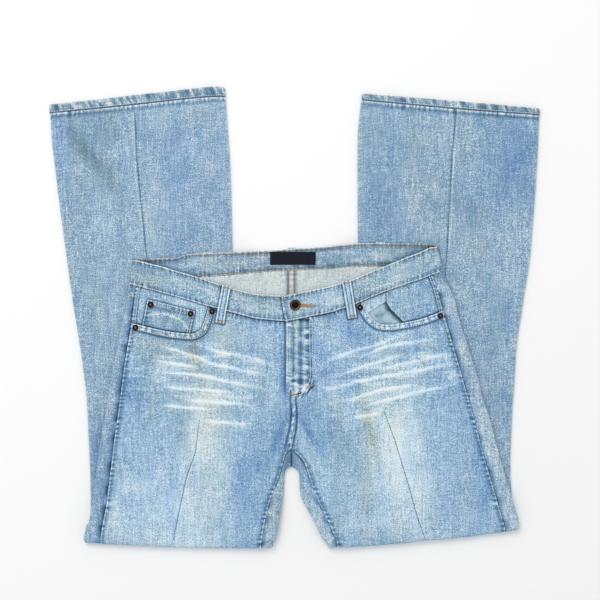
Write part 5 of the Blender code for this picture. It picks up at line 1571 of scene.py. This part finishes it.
# The hems: the leg's end turned up twice and stitched, which ropes and puckers as it shrinks.
HEM_EDGE = {
    "left": table("x y", (-342.5, 296.5), (-221.9, 310.0), (-145, 318.6), (-118, 321.6), (-97.5, 320.8)),
    "right": table("x y", (94.0, 312.0), (217.7, 302.4), (342.5, 291.3)),
}
HEM_COLUMNS = 18


def hem_grid(leg):
    """The hem's ring of three layers: closed columns, from the panels' ends to the hem's edge."""
    name = leg.name
    grid = []
    for t in (0.0, 0.5, 1.0):
        low_x, high_x = (mix(HEM_SEAM[name]["x"][k], HEM_EDGE[name]["x"][k], t) for k in (0, -1))
        flat = np.linspace(low_x + HEM_EDGE_ROUND, high_x - HEM_EDGE_ROUND, HEM_COLUMNS)
        inset = HEM_EDGE_ROUND * (1 - np.cos(ROUND[1:-1]))
        x = np.concatenate([flat, high_x - inset, flat[::-1], low_x + inset])
        falling = (1 + np.sin(ROUND[1:-1])) / 2
        level = np.concatenate([np.ones(HEM_COLUMNS), falling, np.zeros(HEM_COLUMNS), falling[::-1]])
        seam = read(HEM_SEAM[name], "y", x, "x") + HALF_GAP + 0.15
        edge = read(HEM_EDGE[name], "y", x, "x")
        grid.append(np.stack([x, mix(seam, edge, t), HEM_HEIGHT * level], axis=-1))
    return np.array(grid)


for leg in (left, right):
    coarse = hem_grid(leg)
    ring = np.concatenate([coarse, coarse[:, :1]], axis=1)
    fine = finer(across(finer(across(ring), 1.5)[:-1]), 1.5)
    down, up, _, _ = reach(fine)
    slant = fine[..., 0] + 0.5 * down
    roping = cloud(slant, down * 0.2, 3.4, 97) + 0.7 * cloud(slant, down * 0.2, 2.0, 98)
    puckers = 0.4 * roping * smooth((down - 0.5) / 2.5)
    groove = bell(down - 2.2, 0.8)
    height = (puckers - 0.3 * groove) * (0.3 + 0.7 * facing_up(fine, closed=True))
    fine = above_floor(fine + outward(fine, True, True)[0] * height[..., None])
    # Painted shade where the hem meets the panel and in the stitched groove, with the folded edge worn lighter
    wash = 0.26 + 1.7 * puckers + 0.4 * bell(up, 1.6) - 0.7 * bell(down, 1.4)
    wash = np.minimum(wash - 0.3 * groove, 0.8)
    cloth("hem_" + leg.name, fine, HEM_WALL, [denim_back, denim_inside], wash, (0.5, 0.012),
          closed=True, tint=0.5)
    count = np.count_nonzero(outward(fine, True, True)[0][0, :, 2] > 0.9)
    stitch_along("pale", fine[:, :count], "top", 2.2)

# The button and the six rivets: stamped brass, blackened in the hollows and rubbed bare on the rims. They are
# set through the cloth from the front.
BUTTON_AT = (1.1, 16.9)
BUTTON_RADIUS = 7.5
RIVET_RADIUS = 4.15
RIVETS = (
    ("rivet_coin_left", -200.2, 17.2),
    ("rivet_coin_right", -144.5, 4.5),
    ("rivet_left_side", -221.1, -14.7),
    ("rivet_left_band", -114.6, 8.0),
    ("rivet_right_band", 91.3, 13.2),
    ("rivet_right_side", 203.0, 1.8),
)
BUTTON_PROFILE = (
    (0, 0), (6.9, 0), (7.3, 0.3), (7.5, 0.8), (7.45, 1.4), (7.2, 1.9), (6.8, 2.25), (6.4, 2.2), (6.0, 1.95),
    (5.4, 1.7), (4.6, 1.75), (3.2, 2.05), (1.6, 2.2), (0, 2.25),
)
RIVET_PROFILE = (
    (0, 0), (4.0, 0), (4.15, 0.25), (4.1, 0.7), (3.8, 1.05), (3.3, 1.2), (2.7, 1.1), (2.1, 0.8), (1.6, 0.75),
    (1.3, 1.0), (0.9, 1.3), (0.4, 1.42), (0, 1.44),
)


def blackened_brass():
    """Stamped brass with an antique finish: dark in the hollows, bare where the rims rub."""
    made, tree, place = new_material("blackened brass")
    blotch = add(tree, "ShaderNodeTexNoise", {"Scale": 0.7 / MM, "Detail": 4.0}, {"Vector": place})
    bare = add(tree, "ShaderNodeAttribute", {"attribute_name": "worn"}, {}, out="Fac")
    total = add(tree, "ShaderNodeMath", {"operation": "MULTIPLY_ADD", 1: 0.3}, {0: blotch, 2: bare})
    colour = add(tree, "ShaderNodeValToRGB", {}, {"Fac": total},
                 ((0.1, "#12100f"), (0.5, "#3a2b26"), (1.0, "#94766a")))
    rough = add(tree, "ShaderNodeValToRGB", {}, {"Fac": blotch}, ((0.3, 0.3), (0.8, 0.55)))
    bump = add(tree, "ShaderNodeBump", {"Strength": 0.2, "Distance": 0.1 * MM}, {"Height": blotch})
    add(tree, "Principled BSDF", {"Metallic": 1.0},
        {"Base Color": colour, "Roughness": rough, "Normal": bump})
    return made


SPIN_STEPS = 48


def stamped(node, centre, profile, worn):
    """A round metal piece in the place of a CAD node: its profile spun about a vertical axis. worn is how
    bare the metal is at each radius."""
    work = bmesh.new()
    points = [work.verts.new((radius * MM, 0, height * MM)) for radius, height in profile]
    edges = [work.edges.new(pair) for pair in zip(points, points[1:])]
    bmesh.ops.spin(work, geom=points + edges, cent=(0, 0, 0), axis=(0, 0, 1), angle=2 * math.pi,
                   steps=SPIN_STEPS)
    bmesh.ops.remove_doubles(work, verts=work.verts, dist=1e-6)
    bmesh.ops.translate(work, vec=Vector(centre) * MM, verts=work.verts)
    bmesh.ops.recalc_face_normals(work, faces=work.faces)
    mesh = bpy.data.meshes.new(node + "_metal")
    work.to_mesh(mesh)
    work.free()
    radius = [math.hypot(v.co.x - centre[0] * MM, v.co.y - centre[1] * MM) / MM for v in mesh.vertices]
    mesh.attributes.new("worn", "FLOAT", "POINT").data.foreach_set("value", np.interp(radius, *zip(*worn)))
    mesh.shade_smooth()
    mesh.materials.append(antique)
    made = placed(node + "_metal", mesh)
    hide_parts(node)
    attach(made, "root")


antique = blackened_brass()
x, y = BUTTON_AT
stamped("button", (x, y, ground.height(x, y, BUTTON_RADIUS) + SEAM_GAP), BUTTON_PROFILE,
        ((0, 0.1), (4.5, 0.0), (5.4, 0.6), (6.2, 0.5), (6.9, 0.1), (7.4, 0.0)))
for name, x, y in RIVETS:
    stamped(name, (x, y, ground.height(x, y, RIVET_RADIUS) + SEAM_GAP), RIVET_PROFILE,
            ((0, 0.75), (1.2, 0.7), (1.8, 0.0), (2.8, 0.05), (3.4, 0.35), (4.1, 0.1)))

# The sewing: spun polyester thread, pale on the outside, gold inside the waist, tan at the bartacks and
# slate in the felled seams. Each stitch is 3.4 mm from hole to hole. Real thread is 0.6 mm thick, and it is
# drawn 0.9 mm thick, slate 1.1 and gold 1.6, so that it shows from this far.
STITCH = 3.4
THREAD, SLATE_THREAD, GOLD_THREAD = 0.45, 0.55, 0.8    # radii
STRAIGHT_UP = np.array([0.0, 0.0, 1.0])


def sewing_thread(name, dark, light):
    """Spun polyester, which is dull and a little uneven in colour."""
    made, tree, place = new_material(name)
    fuzz = add(tree, "ShaderNodeTexNoise", {"Scale": 0.5 / MM, "Detail": 3.0}, {"Vector": place})
    colour = add(tree, "ShaderNodeValToRGB", {}, {"Fac": fuzz}, ((0.3, dark), (0.7, light)))
    add(tree, "Principled BSDF", {"Roughness": 0.8}, {"Base Color": colour})
    return made


def stitch(start, end, up, radius):
    """One stitch as a closed thread: it rises out of one hole and dives into the next."""
    run = end - start
    length = np.linalg.norm(run)
    side = np.cross(up, run / max(length, 1e-6))
    points, quads = [], []
    for t, rise, thick in ((0.03, -0.25, 0.6), (0.22, 0.22, 1.0), (0.78, 0.22, 1.0), (0.97, -0.25, 0.6)):
        middle = start + run * t + up * rise
        for turn in (0, 1, 2, 3):
            around = side * math.cos(turn * math.pi / 2) + up * math.sin(turn * math.pi / 2)
            points.append(middle + around * radius * thick)
    for ring in range(3):
        for turn in range(4):
            a, b = ring * 4 + turn, ring * 4 + (turn + 1) % 4
            quads.append((a, b, b + 4, a + 4))
    quads += [(3, 2, 1, 0), (12, 13, 14, 15)]
    return points, quads


def sewn(name, material, lines, tacks=(), radius=THREAD):
    """One mesh of all the stitches along lines, and of the short stitches laid side by side across
    tacks."""
    points, quads = [], []
    pairs = []
    for line, up in lines:
        done = walked(line)
        at = np.linspace(0, done[-1], max(1, int(done[-1] / STITCH)) + 1)
        places, ups = (
            np.stack([np.interp(at, done, part[:, k]) for k in range(3)], axis=-1) for part in (line, up)
        )
        for a, b, n in zip(places, places[1:], ups):
            pairs.append((mix(a, b, 0.08), mix(a, b, 0.92), n / np.linalg.norm(n)))
    pairs += tacks
    for a, b, n in pairs:
        some_points, some_quads = stitch(a, b, n, radius)
        quads += [tuple(len(points) + k for k in quad) for quad in some_quads]
        points += some_points
    mesh = bpy.data.meshes.new(name)
    mesh.from_pydata((np.array(points) * MM).tolist(), [], quads)
    mesh.shade_smooth()
    mesh.materials.append(material)
    made = placed(name, mesh)
    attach(made, "root")


def sew_over(colour, chain, over):
    """Marks a line of stitching that follows a chain of plan points over what lies there."""
    chain = np.array(chain, float)
    done = walked(chain)
    at = np.linspace(0, done[-1], max(2, int(done[-1] / 2.0)))
    places = zip(np.interp(at, done, chain[:, 0]), np.interp(at, done, chain[:, 1]))
    line = np.array([(x, y, over.height(x, y, 0.5)) for x, y in places])
    thread_lines[colour].append((line, np.tile(STRAIGHT_UP, (len(line), 1))))


def bartack(start, end, width, over, taper=0.0):
    """Stitches side by side across a short line, narrowing by taper of their width towards its end."""
    start, end = np.array(start, float), np.array(end, float)
    length = np.linalg.norm(end - start)
    side = np.array([start[1] - end[1], end[0] - start[0]]) / length
    made = []
    for at in np.linspace(0, 1, max(3, int(length / 0.75))):
        middle, half = mix(start, end, at), width * (1 - taper * at) / 2
        ends = [np.array([*(middle + side * k), 0.0]) for k in (-half, half)]
        level = max(over.height(p[0], p[1], 0.5) for p in ends)
        made.append((ends[0] + (0, 0, level), ends[1] + (0, 0, level), STRAIGHT_UP))
    return made


# Two rows along each pocket mouth, and two more round the fly
for leg in (left, right):
    on_front = Ground(front[leg.name])
    for away in (1.7, 7.0):
        inside = offset(mouth_line(leg, 70), leg.side * away)
        kept = [p for p in inside if p[1] < leg.waist(p[0]) - 1 and leg.side * (leg.outseam(p[1]) - p[0]) > 1]
        sew_over("pale", kept, on_front)
over_all = Ground(band, front["left"], front["right"], *loops.values())
for away in (0.0, 3.6):
    j_stitch = [
        (24.5 - away, -4), (25.2 - away, -50), (25.9 - away, -84), (22.5 - away, -97 + away * 0.4),
        (11, -107 + away), (-4.5, -111.5 + away),
    ]
    sew_over("pale", j_stitch, over_all)
# Bartacks: two at the fly's foot, the buttonhole, its band's end, and both ends of each belt loop on the front
tacks = bartack((17.6, -98.5), (25.6, -94.5), 2.6, over_all)
tacks += bartack((-7.4, -108.2), (2.4, -107.4), 2.6, over_all)
tacks += bartack((8.6, 16.6), (29.0, 15.8), 6.4, over_all, taper=0.72)
tacks += bartack((-17.4, 27.6), (-16.0, 23.4), 2.2, over_all)
for top, low in FRONT_LOOPS.values():
    top, low = np.array(top), np.array(low)
    run = (low - top) / np.linalg.norm(low - top)
    for middle in (top + run * 3.0, low - run * 3.4):
        half = np.array([-run[1], run[0]]) * 4.6
        tacks += bartack(middle - half, middle + half, 2.0, over_all)
sewn("topstitching_pale", sewing_thread("pale polyester thread", "#cdd9dd", "#f6f8f6"), thread_lines["pale"])
sewn("topstitching_gold", sewing_thread("gold polyester thread", "#775c38", "#bb9a66"), thread_lines["gold"],
     radius=GOLD_THREAD)
SEAM_ENDS = (-310, 286)     # y of the fold and of the hem, which these rows stop short of
on_fronts, on_backs = Ground(front["left"], front["right"]), Ground(back["left"], back["right"])
for chart, over in ((CROTCH_SEAM, on_fronts), (LEG_SEAMS, on_fronts), (BACK_SEAMS, on_backs)):
    for chain in chart:
        points = photo_chain(chain)
        points[:, 1] = np.clip(points[:, 1], *SEAM_ENDS)
        sew_over("slate", points, over)
sewn("leg_seams", sewing_thread("slate polyester thread", "#41596a", "#6f899b"), thread_lines["slate"],
     radius=SLATE_THREAD)
sewn("bartacks", sewing_thread("tan polyester thread", "#94703f", "#cfa767"), [], tacks)

# The studio: a floor of plain white paper, a large soft light from above and the left, and the photograph's
# camera, which looks straight down. The floor is 0.4 mm under the cloth, so that they don't share a plane.
FLOOR_HALF, FLOOR_LEVEL = 3, -0.0004
LAMP_AT, LAMP_SIZE, LAMP_POWER = (-0.9, 1.5, 2.2), 1.6, 30
SKY_STRENGTH = 0.8
CAMERA_AT, CAMERA_LENS, CAMERA_SENSOR = (0.0077, 0.0238, 1.983), 85, 36

floor_mesh = bpy.data.meshes.new("floor")
corners = [(x * FLOOR_HALF, y * FLOOR_HALF, FLOOR_LEVEL) for x, y in ((-1, -1), (1, -1), (1, 1), (-1, 1))]
floor_mesh.from_pydata(corners, [], [(0, 1, 2, 3)])
floor = placed("floor", floor_mesh)
paper = bpy.data.materials.new("white paper")
paper.use_nodes = True
add(paper.node_tree, "Principled BSDF", {"Base Color": linear("#f4f4f4"), "Roughness": 0.9}, {})
floor_mesh.materials.append(paper)

lamp = bpy.data.lights.new("softbox", "AREA")
lamp.energy = LAMP_POWER
lamp.size = LAMP_SIZE
softbox = placed("softbox", lamp)
softbox.location = LAMP_AT
softbox.rotation_euler = (-Vector(LAMP_AT)).to_track_quat("-Z", "Y").to_euler()
world = bpy.data.worlds.new("studio")
world.use_nodes = True
add(world.node_tree, "Background", {"Color": (1, 1, 1, 1), "Strength": SKY_STRENGTH}, {})
bpy.context.scene.world = world

lens = bpy.data.cameras.new("camera")
lens.lens = CAMERA_LENS
lens.sensor_width = CAMERA_SENSOR
camera = placed("camera", lens)
camera.location = CAMERA_AT
bpy.context.scene.camera = camera
bpy.context.scene.view_settings.view_transform = "Standard"
